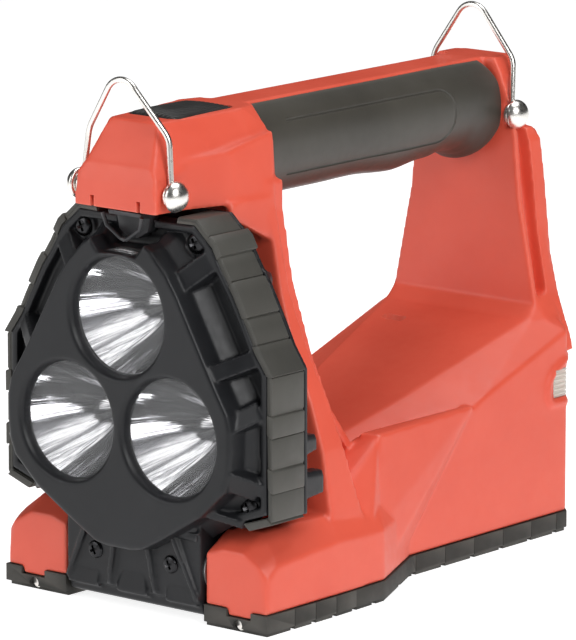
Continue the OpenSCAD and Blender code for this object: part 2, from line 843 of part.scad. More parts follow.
module lens(k) {
    color([0.9, 0.95, 1, 0.3]) at_lamp(k) translate([0, 0, -rim_y + 0.1]) cylinder(r = 24, h = 1.8);
}

module lens_top() lens(0);
module lens_right() lens(1);
module lens_left() lens(2);

module lens_seals() {
    color([0.05, 0.05, 0.05]) for (k = [0, 1, 2]) at_lamp(k) translate([0, 0, -rim_y - 2.2])
        rotate_extrude() translate([23.72, 0]) circle(r = 0.42, $fn = 16);
}

// Paraboloid reflector with a flat rim.
module reflector(k) {
    rim_r = 22.6;
    f = rim_r * rim_r / (4 * reflector_depth);
    n = 12;
    r0 = 4.2;
    inner = [for (i = [0:n]) let (r = r0 + (rim_r - r0) * i / n) [r, r * r / (4 * f)]];
    outer = [for (i = [n:-1:0]) let (r = r0 + (rim_r - r0) * i / n) [r + 1, max(0, r * r / (4 * f) - 1)]];
    color([0.9, 0.9, 0.92]) at_lamp(k) translate([0, 0, -rim_y - reflector_depth])
        rotate_extrude() polygon(concat(inner, [[23.5, reflector_depth], [23.5, reflector_depth - 1.2]], outer));
}

module reflector_top() reflector(0);
module reflector_right() reflector(1);
module reflector_left() reflector(2);

module led(k) {
    color([0.95, 0.9, 0.6]) at_lamp(k) translate([0, 0, -rim_y - reflector_depth]) {
        cylinder(r = 3.4, h = 1);
        translate([0, 0, 1]) intersection() {
            sphere(r = 2.4);
            cylinder(r = 3, h = 3);
        }
    }
}

module led_top() led(0);
module led_right() led(1);
module led_left() led(2);

module led_board(k) {
    color([0.85, 0.85, 0.85]) at_lamp(k) difference() {
        translate([0, 0, -front - 35.5]) cylinder(r = 10, h = 35.5 - 5.6 - reflector_depth);
        for (a = [0, 180]) rotate([0, 0, a]) translate([8, 0, 60]) cylinder(r = 1.3, h = 30);
    }
}

module led_board_top() led_board(0);
module led_board_right() led_board(1);
module led_board_left() led_board(2);

main_housing();
base_cover();
base_boot();
base_screws();
handle_grip();
switch_retainer();
switch_board();
tact_switch();
switch_pad();
switch_plunger();
battery_tray();
battery_cells();
battery_clamp();
battery_connector();
charge_contacts();
control_board();
board_components();
board_screws();
tail_lens_right();
tail_lens_left();
tail_gasket_right();
tail_gasket_left();
tail_led_right();
tail_led_left();
indicator_lens();
indicator_led();
rivets_front();
rivets_rear();
front_bail();
rear_bail();
hinge_pin();
hinge_bushes();
hinge_end_caps();
friction_washers();
cable_gland();
head_bezel();
head_bumper();
head_shell();
head_gasket();
latch_tab();
head_screws();
heat_sink();
lens_top();
lens_right();
lens_left();
lens_seals();
reflector_top();
reflector_right();
reflector_left();
led_top();
led_right();
led_left();
led_board_top();
led_board_right();
led_board_left();
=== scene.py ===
"""Studio view of a firefighter's hand lantern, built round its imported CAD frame.

Shapes are modelled in millimetres in the frame's own axes (-Y is the way the
lamps shine, +Z is up) and scaled to metres as each piece is finished.
"""
import json
import math

import bmesh
import bpy
from mathutils import Matrix, Vector


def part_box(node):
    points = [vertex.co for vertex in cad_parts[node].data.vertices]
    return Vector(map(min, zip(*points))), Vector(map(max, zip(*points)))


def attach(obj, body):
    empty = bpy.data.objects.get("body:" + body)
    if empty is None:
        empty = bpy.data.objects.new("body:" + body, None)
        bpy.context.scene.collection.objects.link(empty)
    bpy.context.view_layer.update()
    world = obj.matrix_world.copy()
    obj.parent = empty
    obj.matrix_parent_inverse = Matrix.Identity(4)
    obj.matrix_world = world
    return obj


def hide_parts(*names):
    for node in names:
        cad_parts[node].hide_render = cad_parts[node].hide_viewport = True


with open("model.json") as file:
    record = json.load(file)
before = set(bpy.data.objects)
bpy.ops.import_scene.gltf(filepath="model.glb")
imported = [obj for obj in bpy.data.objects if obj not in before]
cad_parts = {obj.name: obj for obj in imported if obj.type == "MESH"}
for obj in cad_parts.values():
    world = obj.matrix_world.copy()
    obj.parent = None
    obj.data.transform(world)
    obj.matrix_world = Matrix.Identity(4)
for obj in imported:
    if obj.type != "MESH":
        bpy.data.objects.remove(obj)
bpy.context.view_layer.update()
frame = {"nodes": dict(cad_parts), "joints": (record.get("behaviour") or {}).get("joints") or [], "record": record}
MM = 0.001


# ---------------------------------------------------------------- dimensions

def box_mm(node):
    """Lowest and highest corner of a CAD node, in millimetres."""
    lo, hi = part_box(node)
    return lo / MM, hi / MM


def joint_place(child):
    """Position in metres of the joint that carries a body."""
    return next(j for j in frame["joints"] if j["child"] == child)["pos_m"]


HOUSING_LO, HOUSING_HI = box_mm("main_housing")
BUMPER_LO, BUMPER_HI = box_mm("head_bumper")
PAD_LO, PAD_HI = box_mm("switch_pad")

FRONT, REAR = HOUSING_LO.y, HOUSING_HI.y
TOP = HOUSING_HI.z
FOOT_X = HOUSING_HI.x
FOOT_FRONT = FRONT + 10
REAR_X = 46.5
BOOT_H = box_mm("base_boot")[1].z
PILLAR_Y = REAR - 17
WALL_Y = FRONT + 53
HOOD_Z = 152
PIN = Vector((0, FRONT + 19.5, 20))
RECESS_R = 19.5
REAR_EYE = Vector(joint_place("rear_bail")) / MM
PAD_FLANGE = 1.8
PAD_HALF = PAD_HI.x + PAD_FLANGE
PAD_FRONT, PAD_REAR = PAD_LO.y - PAD_FLANGE, PAD_HI.y + PAD_FLANGE
PAD_CORNER = 3.6
FOOT_IN = 34

HEAD_HALF = BUMPER_HI.x
HEAD_TOP = BUMPER_HI.z
HEAD_MID = 94
RING_FRONT = BUMPER_LO.y
RING_BACK = BUMPER_HI.y
SHELL_BACK = box_mm("head_shell")[1].y
RIM_Y = FRONT + 5.6
LENS_LO, LENS_HI = box_mm("lens_right")
LAMP_DX = (LENS_LO.x + LENS_HI.x) / 2
LAMP_LOW = (LENS_LO.z + LENS_HI.z) / 2
TOP_LO, TOP_HI = box_mm("lens_top")
LAMP_HIGH = (TOP_LO.z + TOP_HI.z) / 2
LAMPS = {"top": (0, LAMP_HIGH), "right": (LAMP_DX, LAMP_LOW), "left": (-LAMP_DX, LAMP_LOW)}
LAMP_R = 22.4
REFLECTOR_R = 22.6
REFLECTOR_DEPTH = 28

FACE_SCREWS = [(27.4, 141), (52.5, 46.5)]
LOW_SCREW = (18.4, 20.6)

DECK_REAR_Z, DECK_SLOPE = 86, 0.34


def deck_z(y):
    """Height of the rear body's deck, which slopes down to the front."""
    return DECK_REAR_Z - DECK_SLOPE * (PILLAR_Y - y)


def degrees(start, stop, step):
    return [math.radians(d) for d in range(start, stop, step)]


def round_angles(count):
    """Angles of evenly spaced points round a full circle."""
    return [math.tau * k / count for k in range(count)]


# ---------------------------------------------------------------- mesh tools

def add_object(name, bm):
    bmesh.ops.recalc_face_normals(bm, faces=bm.faces)
    mesh = bpy.data.meshes.new(name)
    bm.to_mesh(mesh)
    bm.free()
    obj = bpy.data.objects.new(name, mesh)
    bpy.context.scene.collection.objects.link(obj)
    return obj


def hull(points):
    """Convex solid round a set of points."""
    bm = bmesh.new()
    for p in points:
        bm.verts.new(p)
    bmesh.ops.convex_hull(bm, input=bm.verts)
    loose = [v for v in bm.verts if not v.link_faces]
    bmesh.ops.delete(bm, geom=loose, context="VERTS")
    return add_object("hull", bm)


def both(points):
    """Points and their mirror images across the middle plane."""
    return [Vector(p) for p in points] + [Vector((-p[0], p[1], p[2])) for p in points]


def prism(outline, place, a, b):
    """Solid whose outline (u, v) is placed by place(u, v, t) for t = a and t = b."""
    bm = bmesh.new()
    low = [bm.verts.new(place(u, v, a)) for u, v in outline]
    high = [bm.verts.new(place(u, v, b)) for u, v in outline]
    n = len(outline)
    bm.faces.new(low)
    bm.faces.new(high[::-1])
    for i in range(n):
        j = (i + 1) % n
        bm.faces.new((low[i], high[i], high[j], low[j]))
    return add_object("prism", bm)


def along_x(outline, a, b):
    return prism(outline, lambda y, z, x: (x, y, z), a, b)


def along_y(outline, a, b):
    return prism(outline, lambda x, z, y: (x, y, z), a, b)


def along_z(outline, a, b):
    return prism(outline, lambda x, y, z: (x, y, z), a, b)


def block(lo, hi):
    (x0, y0, z0), (x1, y1, z1) = lo, hi
    return along_z([(x0, y0), (x1, y0), (x1, y1), (x0, y1)], z0, z1)


def ring(bm, centre, turn, r, h, sides):
    """Circle of vertices at height h on an axis through centre."""
    return [bm.verts.new(centre + turn @ Vector((r * math.cos(a), r * math.sin(a), h)))
            for a in round_angles(sides)]


def bridge(bm, low, high):
    """Faces between two closed rings of vertices."""
    for i in range(len(low)):
        j = (i + 1) % len(low)
        bm.faces.new((low[i], low[j], high[j], high[i]))


def rod(p, q, r, sides=48):
    """Cylinder from p to q."""
    p, q = Vector(p), Vector(q)
    turn = (q - p).to_track_quat("Z", "Y")
    bm = bmesh.new()
    low, high = [ring(bm, centre, turn, r, 0, sides) for centre in (p, q)]
    bm.faces.new(low)
    bm.faces.new(high)
    for i in range(sides):
        j = (i + 1) % sides
        bm.faces.new((low[i], high[i], high[j], low[j]))
    return add_object("rod", bm)


def on_pin(half, r, sides=96):
    """Cylinder on the axis of the head's hinge pin."""
    return rod((-half, PIN.y, PIN.z), (half, PIN.y, PIN.z), r, sides)


def lathe(profile, centre, axis, sides):
    """Surface of revolution of (radius, height) points about axis through centre."""
    turn = Vector(axis).to_track_quat("Z", "Y")
    centre = Vector(centre)
    bm = bmesh.new()
    rings = []
    for r, h in profile:
        if r < 1e-6:
            rings.append([bm.verts.new(centre + turn @ Vector((0, 0, h)))])
        else:
            rings.append(ring(bm, centre, turn, r, h, sides))
    for low, high in zip(rings, rings[1:]):
        if len(low) == len(high):
            bridge(bm, low, high)
            continue
        for i in range(sides):
            j = (i + 1) % sides
            if len(low) == 1:
                bm.faces.new((low[0], high[i], high[j]))
            else:
                bm.faces.new((low[i], low[j], high[0]))
    return add_object("lathe", bm)


def loft(sections):
    """Closed solid through rings that all have the same number of points."""
    bm = bmesh.new()
    rings = [[bm.verts.new(p) for p in section] for section in sections]
    for low, high in zip(rings, rings[1:]):
        bridge(bm, low, high)
    bm.faces.new(rings[0][::-1])
    bm.faces.new(rings[-1])
    return add_object("loft", bm)


def tube(path, r, sides):
    """Round wire along a path, with ends closed."""
    path = [Vector(p) for p in path]
    sections = []
    normal = None
    for i, p in enumerate(path):
        t = (path[min(i + 1, len(path) - 1)] - path[max(i - 1, 0)]).normalized()
        if normal is None:
            normal = t.orthogonal().normalized()
        normal = (normal - t * normal.dot(t)).normalized()
        side = t.cross(normal)
        sections.append([p + (normal * math.cos(a) + side * math.sin(a)) * r
                         for a in round_angles(sides)])
    return loft(sections)


def apply_modifiers(obj):
    bpy.context.view_layer.update()
    graph = bpy.context.evaluated_depsgraph_get()
    mesh = bpy.data.meshes.new_from_object(obj.evaluated_get(graph))
    old = obj.data
    obj.modifiers.clear()
    obj.data = mesh
    bpy.data.meshes.remove(old)
    return obj


def modify(obj, kind, **settings):
    """Adds one modifier with its settings and applies it."""
    mod = obj.modifiers.new(kind, kind)
    for setting, value in settings.items():
        setattr(mod, setting, value)
    return apply_modifiers(obj)


def combine(obj, others, operation):
    """Boolean of obj with each of the others, which are used up."""
    for other in others:
        modify(obj, "BOOLEAN", operation=operation, solver="MANIFOLD", object=other)
        bpy.data.objects.remove(other)
    return obj


def union(objs):
    return combine(objs[0], objs[1:], "UNION")


def cut(obj, tools):
    return combine(obj, tools, "DIFFERENCE")


def common(obj, other):
    return combine(obj, [other], "INTERSECT")


def mirrored(obj):
    """A copy of obj reflected in the middle plane."""
    copy = obj.copy()
    copy.data = obj.data.copy()
    bpy.context.scene.collection.objects.link(copy)
    copy.data.transform(Matrix.Scale(-1, 4, (1, 0, 0)))
    copy.data.flip_normals()
    return copy


def pair(obj):
    return [obj, mirrored(obj)]


def join(objs):
    """One object that holds all the meshes, kept as separate shells."""
    bm = bmesh.new()
    for obj in objs:
        bm.from_mesh(obj.data)
        bpy.data.objects.remove(obj)
    mesh = bpy.data.meshes.new("joined")
    bm.to_mesh(mesh)
    bm.free()
    joined = bpy.data.objects.new("joined", mesh)
    bpy.context.scene.collection.objects.link(joined)
    return joined


def soften(obj, voxel, rounds):
    """Remesh a solid evenly and relax it, so that every edge gets a moulded radius."""
    modify(obj, "REMESH", mode="VOXEL", voxel_size=voxel, use_smooth_shade=True)
    return modify(obj, "SMOOTH", factor=0.5, iterations=rounds)


def thin_out(obj, ratio):
    """Fewer faces, down to a share of what there was."""
    return modify(obj, "DECIMATE", ratio=ratio)


def bevel(obj, width, angle=30):
    """Rounds the edges that are sharper than an angle in degrees."""
    return modify(obj, "BEVEL", width=width, segments=2, limit_method="ANGLE",
                  angle_limit=math.radians(angle), harden_normals=False)


def finish_piece(obj, name, body, slot, replaces, angle):
    """Scales a piece to metres, names it and joins it to its CAD body.

    Shading is smooth, with the edges kept sharp that turn by more than angle.
    """
    obj.name = name
    mesh = obj.data
    mesh.name = name
    mesh.transform(Matrix.Scale(MM, 4))
    for poly in mesh.polygons:
        poly.use_smooth = True
    mesh.set_sharp_from_angle(angle=math.radians(angle))
    mesh.materials.clear()
    mesh.materials.append(M[SLOT_MATERIAL[slot]])
    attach(obj, body)
    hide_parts(replaces)


# ---------------------------------------------------------------- materials

def set_inputs(tree, node, values):
    """Gives each named input its constant, or a link where the value is a node's output."""
    for socket, value in values.items():
        if isinstance(value, bpy.types.NodeSocket):
            tree.links.new(value, node.inputs[socket])
        else:
            node.inputs[socket].default_value = value
    return node


def add_node(tree, kind, values):
    return set_inputs(tree, tree.nodes.new("ShaderNode" + kind), values)


def new_material(name, color, roughness, metallic=0.0, coat=0.0, specular=0.5):
    mat = bpy.data.materials.new(name)
    mat.use_nodes = True
    shader = mat.node_tree.nodes["Principled BSDF"]
    set_inputs(mat.node_tree, shader, {
        "Base Color": (*color, 1), "Roughness": roughness, "Metallic": metallic,
        "Coat Weight": coat, "Specular IOR Level": specular})
    return mat, mat.node_tree, shader


def noise(tree, scale, detail):
    """Noise that stays put on the piece."""
    place = add_node(tree, "TexCoord", {}).outputs["Object"]
    return add_node(tree, "TexNoise", {"Vector": place, "Scale": scale, "Detail": detail,
                                       "Roughness": 0.55}).outputs["Fac"]


def streaks(tree, place, stretch, scale, detail, distortion=0.0):
    """Noise drawn out along the directions in which stretch is small."""
    drawn = add_node(tree, "Mapping", {"Vector": place, "Scale": stretch}).outputs["Vector"]
    return add_node(tree, "TexNoise", {"Vector": drawn, "Scale": scale, "Detail": detail,
                                       "Distortion": distortion}).outputs["Fac"]


def span(tree, value, low, high, in_low=0.3, in_high=0.7):
    """Maps in_low to low and in_high to high."""
    return add_node(tree, "MapRange", {"Value": value, "From Min": in_low, "From Max": in_high,
                                       "To Min": low, "To Max": high}).outputs["Result"]


def tint(tree, value, dark, light):
    """Colour between dark, which may be another colour's output, and light."""
    node = tree.nodes.new("ShaderNodeMix")
    node.data_type = "RGBA"
    start = dark if isinstance(dark, bpy.types.NodeSocket) else (*dark, 1)
    set_inputs(tree, node, {"A": start, "B": (*light, 1), "Factor": value})
    return node.outputs["Result"]


def bump(tree, shader, height, strength, distance):
    node = add_node(tree, "Bump", {"Height": height, "Strength": strength, "Distance": distance})
    tree.links.new(node.outputs["Normal"], shader.inputs["Normal"])


def painted_edge_highlight(tree):
    """How convex the surface is, for painted highlights that lighten the edges."""
    geometry = add_node(tree, "NewGeometry", {})
    return span(tree, geometry.outputs["Pointiness"], 0.0, 1.0, 0.53, 0.62)


def moulded(name, dark, light, rough, grain=1400.0, coat=0.0, edge_highlight_color=None, specular=0.5):
    """Moulded plastic or rubber: slight blotches of colour, a fine grain and painted highlights on convex edges.
    """
    mat, tree, shader = new_material(name, light, rough[0], coat=coat, specular=specular)
    color = tint(tree, span(tree, noise(tree, 28.0, 4), 0, 1), dark, light)
    # painted highlight: convex edges are lightened towards a paler edge colour
    if edge_highlight_color:
        color = tint(tree, painted_edge_highlight(tree), color, edge_highlight_color)
    set_inputs(tree, shader, {"Base Color": color,
                              "Roughness": span(tree, noise(tree, 240.0, 5), *rough)})
    bump(tree, shader, noise(tree, grain, 2), 0.25, 0.00006)
    return mat


def metal(name, color, rough, depth=0.00001):
    mat, tree, shader = new_material(name, color, rough[0], metallic=1.0)
    fine = noise(tree, 600.0, 4)
    set_inputs(tree, shader, {"Roughness": span(tree, fine, *rough)})
    bump(tree, shader, fine, 0.15, depth)
    return mat


def fluted(name, dark, light, rough):
    """Metallised reflector whose flutes show as bumps, with painted reflection streaks in its colour that run out
    from its middle.
    """
    mat, tree, shader = new_material(name, light, rough, metallic=1.0)
    around = add_node(tree, "TexCoord", {}).outputs["UV"]
    flutes_and_painted_streaks = streaks(tree, around, (26.0, 1.1, 1.0), 1.0, 3.0, 0.5)
    # painted reflection: the colour runs in streaks between dark and light chrome, standing in for the
    # surroundings seen in the flutes
    color = tint(tree, span(tree, flutes_and_painted_streaks, 0, 1, 0.40, 0.56), dark, light)
    set_inputs(tree, shader, {"Base Color": color})
    bump(tree, shader, flutes_and_painted_streaks, 0.35, 0.0008)
    return mat


def clear(name, color, alpha, roughness):
    mat, tree, shader = new_material(name, color, roughness)
    fine = span(tree, noise(tree, 90.0, 2), roughness, roughness + 0.03)
    set_inputs(tree, shader, {"Alpha": alpha, "Roughness": fine})
    return mat


def glow(name, color, strength):
    mat, tree, shader = new_material(name, color, 0.4)
    fine = span(tree, noise(tree, 900.0, 2), 0.35, 0.5)
    set_inputs(tree, shader, {"Emission Color": (*color, 1), "Emission Strength": strength,
                              "Roughness": fine})
    return mat


M = {
    # the paler edge colours in these entries are painted highlights on convex edges
    "red": moulded("red_plastic", (0.70, 0.088, 0.048), (0.76, 0.108, 0.062), (0.40, 0.50),
                   edge_highlight_color=(0.84, 0.22, 0.15)),
    "bezel": moulded("black_satin_plastic", (0.009, 0.0095, 0.011), (0.014, 0.0145, 0.0165),
                     (0.36, 0.46), edge_highlight_color=(0.09, 0.09, 0.095), specular=0.30),
    "bumper": moulded("bumper_rubber", (0.036, 0.035, 0.031), (0.052, 0.050, 0.044), (0.45, 0.56),
                      edge_highlight_color=(0.10, 0.096, 0.085), specular=0.36),
    "boot": moulded("boot_rubber", (0.022, 0.021, 0.018), (0.033, 0.031, 0.027), (0.52, 0.66),
                    edge_highlight_color=(0.07, 0.066, 0.058), specular=0.36),
    "grip": moulded("grip_rubber", (0.045, 0.041, 0.034), (0.062, 0.057, 0.047), (0.38, 0.48),
                    edge_highlight_color=(0.11, 0.10, 0.085)),
    "pad": moulded("pad_rubber", (0.012, 0.0115, 0.011), (0.020, 0.019, 0.018), (0.45, 0.6),
                   edge_highlight_color=(0.10, 0.096, 0.09)),
    "steel": metal("satin_nickel_steel", (0.82, 0.80, 0.76), (0.24, 0.34)),
    "dull_steel": metal("zinc_steel", (0.50, 0.50, 0.50), (0.30, 0.45)),
    "black_screw": metal("black_oxide_steel", (0.035, 0.035, 0.037), (0.22, 0.35)),
    # the reflector's darker colour gives the painted reflection streaks
    "chrome": fluted("metallised_reflector", (0.26, 0.26, 0.275), (0.95, 0.95, 0.96), 0.08),
    "brass": metal("turned_brass", (0.60, 0.42, 0.14), (0.25, 0.4)),
    "aluminium": metal("cast_aluminium", (0.58, 0.58, 0.60), (0.4, 0.55), depth=0.00004),
    "seal": moulded("seal_rubber", (0.010, 0.010, 0.010), (0.018, 0.018, 0.018), (0.6, 0.75)),
    "inner": moulded("inner_plastic", (0.03, 0.03, 0.03), (0.05, 0.05, 0.05), (0.45, 0.6)),
    "board": moulded("green_board", (0.01, 0.09, 0.03), (0.02, 0.14, 0.05), (0.3, 0.4), grain=500.0),
    "white_board": moulded("white_board", (0.70, 0.70, 0.67), (0.80, 0.80, 0.77), (0.35, 0.45)),
    "wrap": moulded("cell_wrap", (0.03, 0.08, 0.26), (0.05, 0.12, 0.34), (0.2, 0.3), coat=0.3),
    "ivory": moulded("connector_plastic", (0.62, 0.60, 0.52), (0.72, 0.70, 0.62), (0.4, 0.5)),
    "lens": clear("clear_polycarbonate", (0.97, 0.98, 1.0), 0.06, 0.02),
    "tail": clear("tail_lens_plastic", (0.86, 0.80, 0.72), 0.55, 0.08),
    "emitter": glow("led_phosphor", (0.90, 0.76, 0.30), 0.15),
    "green_led": glow("green_led", (0.15, 0.65, 0.20), 0.3),
}

SLOT_MATERIAL = {
    "body_red": "red", "base_plastic": "inner", "boot_rubber": "boot", "screw_steel": "dull_steel",
    "grip_rubber": "grip", "inner_plastic": "inner", "circuit_board": "board",
    "switch_metal": "dull_steel", "pad_rubber": "pad", "battery_wrap": "wrap",
    "connector_plastic": "ivory", "contact_metal": "steel", "component_black": "inner",
    "tail_lens": "tail", "seal_rubber": "seal", "led_green": "green_led", "bail_steel": "steel",
    "pin_steel": "dull_steel", "brass": "brass", "bezel_black": "bezel", "bumper_grey": "bumper",
    "black_screws": "black_screw", "heat_sink_metal": "aluminium", "lens_clear": "lens",
    "reflector_chrome": "chrome", "led_emitter": "emitter", "led_board_white": "white_board",
}

for entry in frame["record"]["subparts"]:
    node = frame["nodes"][entry["node"]]
    node.data.materials.clear()
    node.data.materials.append(M[SLOT_MATERIAL[entry["material_slot"]]])


def rounded(points, radius, steps):
    """A path with its inner corners rounded off."""
    pts = [Vector(p) for p in points]
    out = [pts[0]]
    for a, b, c in zip(pts, pts[1:], pts[2:]):
        u, v = (a - b).normalized(), (c - b).normalized()
        d = min(radius, (a - b).length * 0.49, (c - b).length * 0.49)
        p, q = b + u * d, b + v * d
        for k in range(steps + 1):
            t = k / steps
            out.append(p * (1 - t) ** 2 + b * 2 * t * (1 - t) + q * t * t)
    out.append(pts[-1])
    return out


# ---------------------------------------------------------------- red housing

def symmetric(half):
    """Closed outline from its right half, listed from one end of the middle line to the other."""
    return half + [(-x, v) for x, v in reversed(half)]


def body_plan(out):
    """Plan of the body's side walls, moved outwards by out."""
    return symmetric([(FOOT_X + out, FOOT_FRONT - out), (FOOT_X + out, -62), (FOOT_X - 1 + out, -32),
                      (REAR_X + out, 3), (REAR_X + out, REAR - 11),
                      (REAR_X - 8 + out * 0.5, REAR - 3 + out)])


NOSE_HALF = [(20, 48), (47, 42), (70, 37.5), (92, 33.5), (120, 29), (147, 25.5), (158, 25.5)]
NOSE_REAR = [(20, -6), (47, -20), (70, -34), (92, -41), (120, -46.5), (147, -48), (158, -48)]
FLANGE_REAR = [(28, -38), (42, -42), (60, -46), (90, -50), (117, -53), (152, -54.5), (157, -54.5)]


def nose_outline(out):
    return symmetric([(x + out, z) for z, x in NOSE_HALF])


def foot():
    """One front foot, which is also one ear of the head's hinge."""
    y = FOOT_FRONT
    return hull([
        (34.2, y, 8), (63, y, 8), (63.5, y + 1, 8), (63.5, -62, 8), (34.2, -60, 8),
        (34.3, y, 27), (42, y, 29.5), (52, y, 29.5), (60, y, 25), (63.4, y + 1, 21),
        (36, y + 9.5, 34.5), (42, y + 10.5, 36.2), (52.5, y + 10.5, 36.2), (61, y + 7, 28.5),
        (63.5, y + 6, 25.5), (63.5, -62, 28), (56, -60, 37), (34.3, -60, 36.2)])


def flank():
    """The flared side between a foot, the nose and the narrow rear body."""
    return hull([
        (63.5, -62, 8), (63.5, -62, 28), (62.5, -32, 8), (62.2, -32, 27), (55.8, -26, 26),
        (46.5, 3, 8), (46.5, 2, 26), (56, -60, 37), (54.5, -52, 40), (51, -42, 43), (46, -23, 48),
        (10, -23, 48), (10, -60, 37), (10, -60, 8), (10, 3, 8)])


def buttress():
    """Triangular panel that braces the flared side against the rear body."""
    return hull([
        (51, -21, 60), (43, -23, 60), (46.9, 41, 60), (43.5, 39, 60), (55.8, -26, 26),
        (56.2, -26, 8), (49, -9, 25), (48.6, -6, 8), (47, 37, 55), (38, -24, 40), (38, 38, 44)])


def saddle():
    """Slope between the nose, the foot and the buttress's upright edge."""
    return hull([
        (50.6, -21.6, 58.5), (49.6, -20, 60), (55.6, -25.6, 27), (49.5, -41, 45), (52.5, -48, 38),
        (61.5, -38, 26.5), (40, -22, 58), (38, -42, 46), (38, -42, 26), (40, -20, 26)])


def rear_body(inset=0.0):
    """Rear body with its deck sloping down to the front and its chamfered shoulders."""
    i = inset
    z0 = BOOT_H - (1 if i else 0)
    return hull(both([
        (REAR_X - i, -20 + i, z0), (REAR_X - i, REAR - 11 - i, z0), (REAR_X - 8 - i, REAR - 3 - i, z0),
        (REAR_X - i, -20 + i, 20), (REAR_X - i, -5.5, 27 - i), (REAR_X - i, 46, 61 - i),
        (REAR_X - i, REAR - 11 - i, 80 - i), (REAR_X - 8 - i, REAR - 3 - i, 79 - i),
        (35 - i, PILLAR_Y, 86 - i), (35 - i, REAR - 6 - i, 86 - i),
        (24 - i, 25, deck_z(25) - i), (14, -20 + i, deck_z(-20) - i)]))


def front_body(inset):
    """Space inside the front of the body."""
    i = inset
    return hull(both([
        (FOOT_X - i, PIN.y + RECESS_R + i, BOOT_H - 1), (FOOT_X - i, -62, 27 - i),
        (FOOT_X - i, PIN.y + RECESS_R + i, 25 - i), (50 - i, PIN.y + RECESS_R + i, 36 - i),
        (FOOT_X - 1 - i, -32, BOOT_H - 1), (FOOT_X - 1 - i, -32, 25 - i), (REAR_X - i, 3, BOOT_H - 1),
        (REAR_X - i, 3, 25 - i), (46 - i, -30, 44 - i)]))


def nose():
    """Column behind the head: a flange that frames the head, a web and a rear ridge."""
    side = [(WALL_Y, 20), (WALL_Y, 158)] + [(y, z) for z, y in reversed(NOSE_REAR)]
    column = common(along_x(side, -70, 70), along_y(nose_outline(1.5), WALL_Y, 0))
    groove = [(y + 1.5, z) for z, y in FLANGE_REAR if 40 < z < 150]
    groove += [(y - 4.5, z) for z, y in reversed(NOSE_REAR) if 45 < z < 150]
    channel = cut(along_x(groove, -70, 70), [along_y(nose_outline(-3.5), WALL_Y - 1, 1)])
    cut(column, [channel])
    frame_side = [(WALL_Y, 24), (WALL_Y, 157)] + [(y, z) for z, y in reversed(FLANGE_REAR)]
    flange = common(along_x(frame_side, -70, 70), along_y(symmetric([
        (59.5, 24), (58.5, 36), (54.5, 60), (49, 77), (41, 96), (34.5, 117), (28.5, 150), (27.5, 157)]),
        WALL_Y - 1, 0))
    return [column, flange]


def hood(inset=0.0):
    """Hood: a narrow upper part with a sloping front, and a lower part that swells to the rear."""
    i = inset
    f = FRONT
    upper = hull(both([
        (19.3 - i, f + i, HOOD_Z + i), (18.6 - i, f + 0.6 + i, 163), (15.5 - i, f + 1.6 + i, 167.5),
        (11.6 - i, f + 10.6 + i, TOP - 0.6 - i), (15.4 - i, -58, TOP - i), (12.5 - i, -48.6 - i, TOP - i),
        (17 - i, f + 12, 170.3), (19.4 - i, f + 13, HOOD_Z + i), (21.5 - i, -75.5, 172),
        (20.8 - i, -60, 175.6), (19.5 - i, -48.4 - i, 176), (24 - i, -60, HOOD_Z + i)]))
    if inset:
        return [upper]
    front = hull(both([
        (19.6, f, HOOD_Z), (19.6, f + 15, HOOD_Z), (19.5, f + 0.2, 161.5), (18.9, f + 0.8, 164.5),
        (16.6, f + 1.6, 168), (17.2, f + 12.5, 169.6), (19.5, f + 15, 163)]))
    side = hull(both([
        (19.6, f + 11.5, HOOD_Z), (27.6, -74, HOOD_Z - 4), (28.6, -56, HOOD_Z - 4), (18.4, f + 12, 168.6),
        (19.2, f + 17, 170.2), (24.4, -76, 171.4), (23.8, -62, 174.2), (22.3, -48.6, 175.6),
        (24, -48.6, 150), (10, -70, HOOD_Z - 4)]))
    return [upper, front, side]


def rear_pillar():
    """Pillar with a thin front flange, a groove down each side and a lower rear flange."""
    y0 = PILLAR_Y
    main = along_y(symmetric([(41, 74), (35.6, 85.5), (26.8, 130), (23.4, 158), (19.5, 165), (17.7, 178),
                              (14, TOP)]), y0, REAR - 3)
    lip = along_y(symmetric([(36, 86), (27, 130), (24.4, 158), (22.6, 165), (19.2, 174), (15.5, 181.5),
                             (14, TOP)]), y0, y0 + 1.9)
    corner = ((19.7, REAR - 9.8), (8, REAR - 2), (34, REAR + 2), (34, REAR - 9.8))
    cut(main, [hull([(s * x, y, z) for x, y in corner for z in (157.5, TOP + 5)]) for s in (-1, 1)])
    rear_flange = along_y(symmetric([(42, 70), (40.5, 76), (37.6, 83), (34.3, 92), (30.3, 108), (27, 138),
                                     (25, 152), (22, 156)]), REAR - 8, REAR - 0.2)
    foot_blend = hull(both([(35.6, y0 - 4, 84.4), (30, y0 - 5, 84.3), (34.3, y0 + 2, 92),
                            (33.5, REAR - 5, 93), (39, REAR - 5, 82), (41, y0 + 3, 80)]))
    groove = along_x([(y0 + 2.8, 89), (y0 + 3.4, 157.5), (y0 + 9.0, 157.5), (y0 + 9.0, 93)], -70, 70)
    web = along_y(symmetric([(30.0, 80), (20.5, 138), (17.5, 160)]), y0, REAR)
    side_channels = cut(groove, [web])
    return cut(main, [side_channels]), lip, rear_flange, foot_blend


def tail_rim():
    """Raised rim round a tail light, open towards the rear."""
    x = REAR_X + 0.2
    points = [(x - 4.6, REAR - 6.6, 69.6), (x - 0.7, REAR - 11.4, 68.6), (x, REAR - 16, 66.6),
              (x, REAR - 21.5, 63.2), (x, REAR - 23.6, 59.6), (x, REAR - 23.2, 55), (x, REAR - 21.6, 52.6),
              (x, REAR - 17, 52.2), (x - 0.7, REAR - 11.4, 51.6), (x - 4.6, REAR - 6.6, 51.2)]
    return tube(rounded(points, 2.5, 4), 1.5, 12)


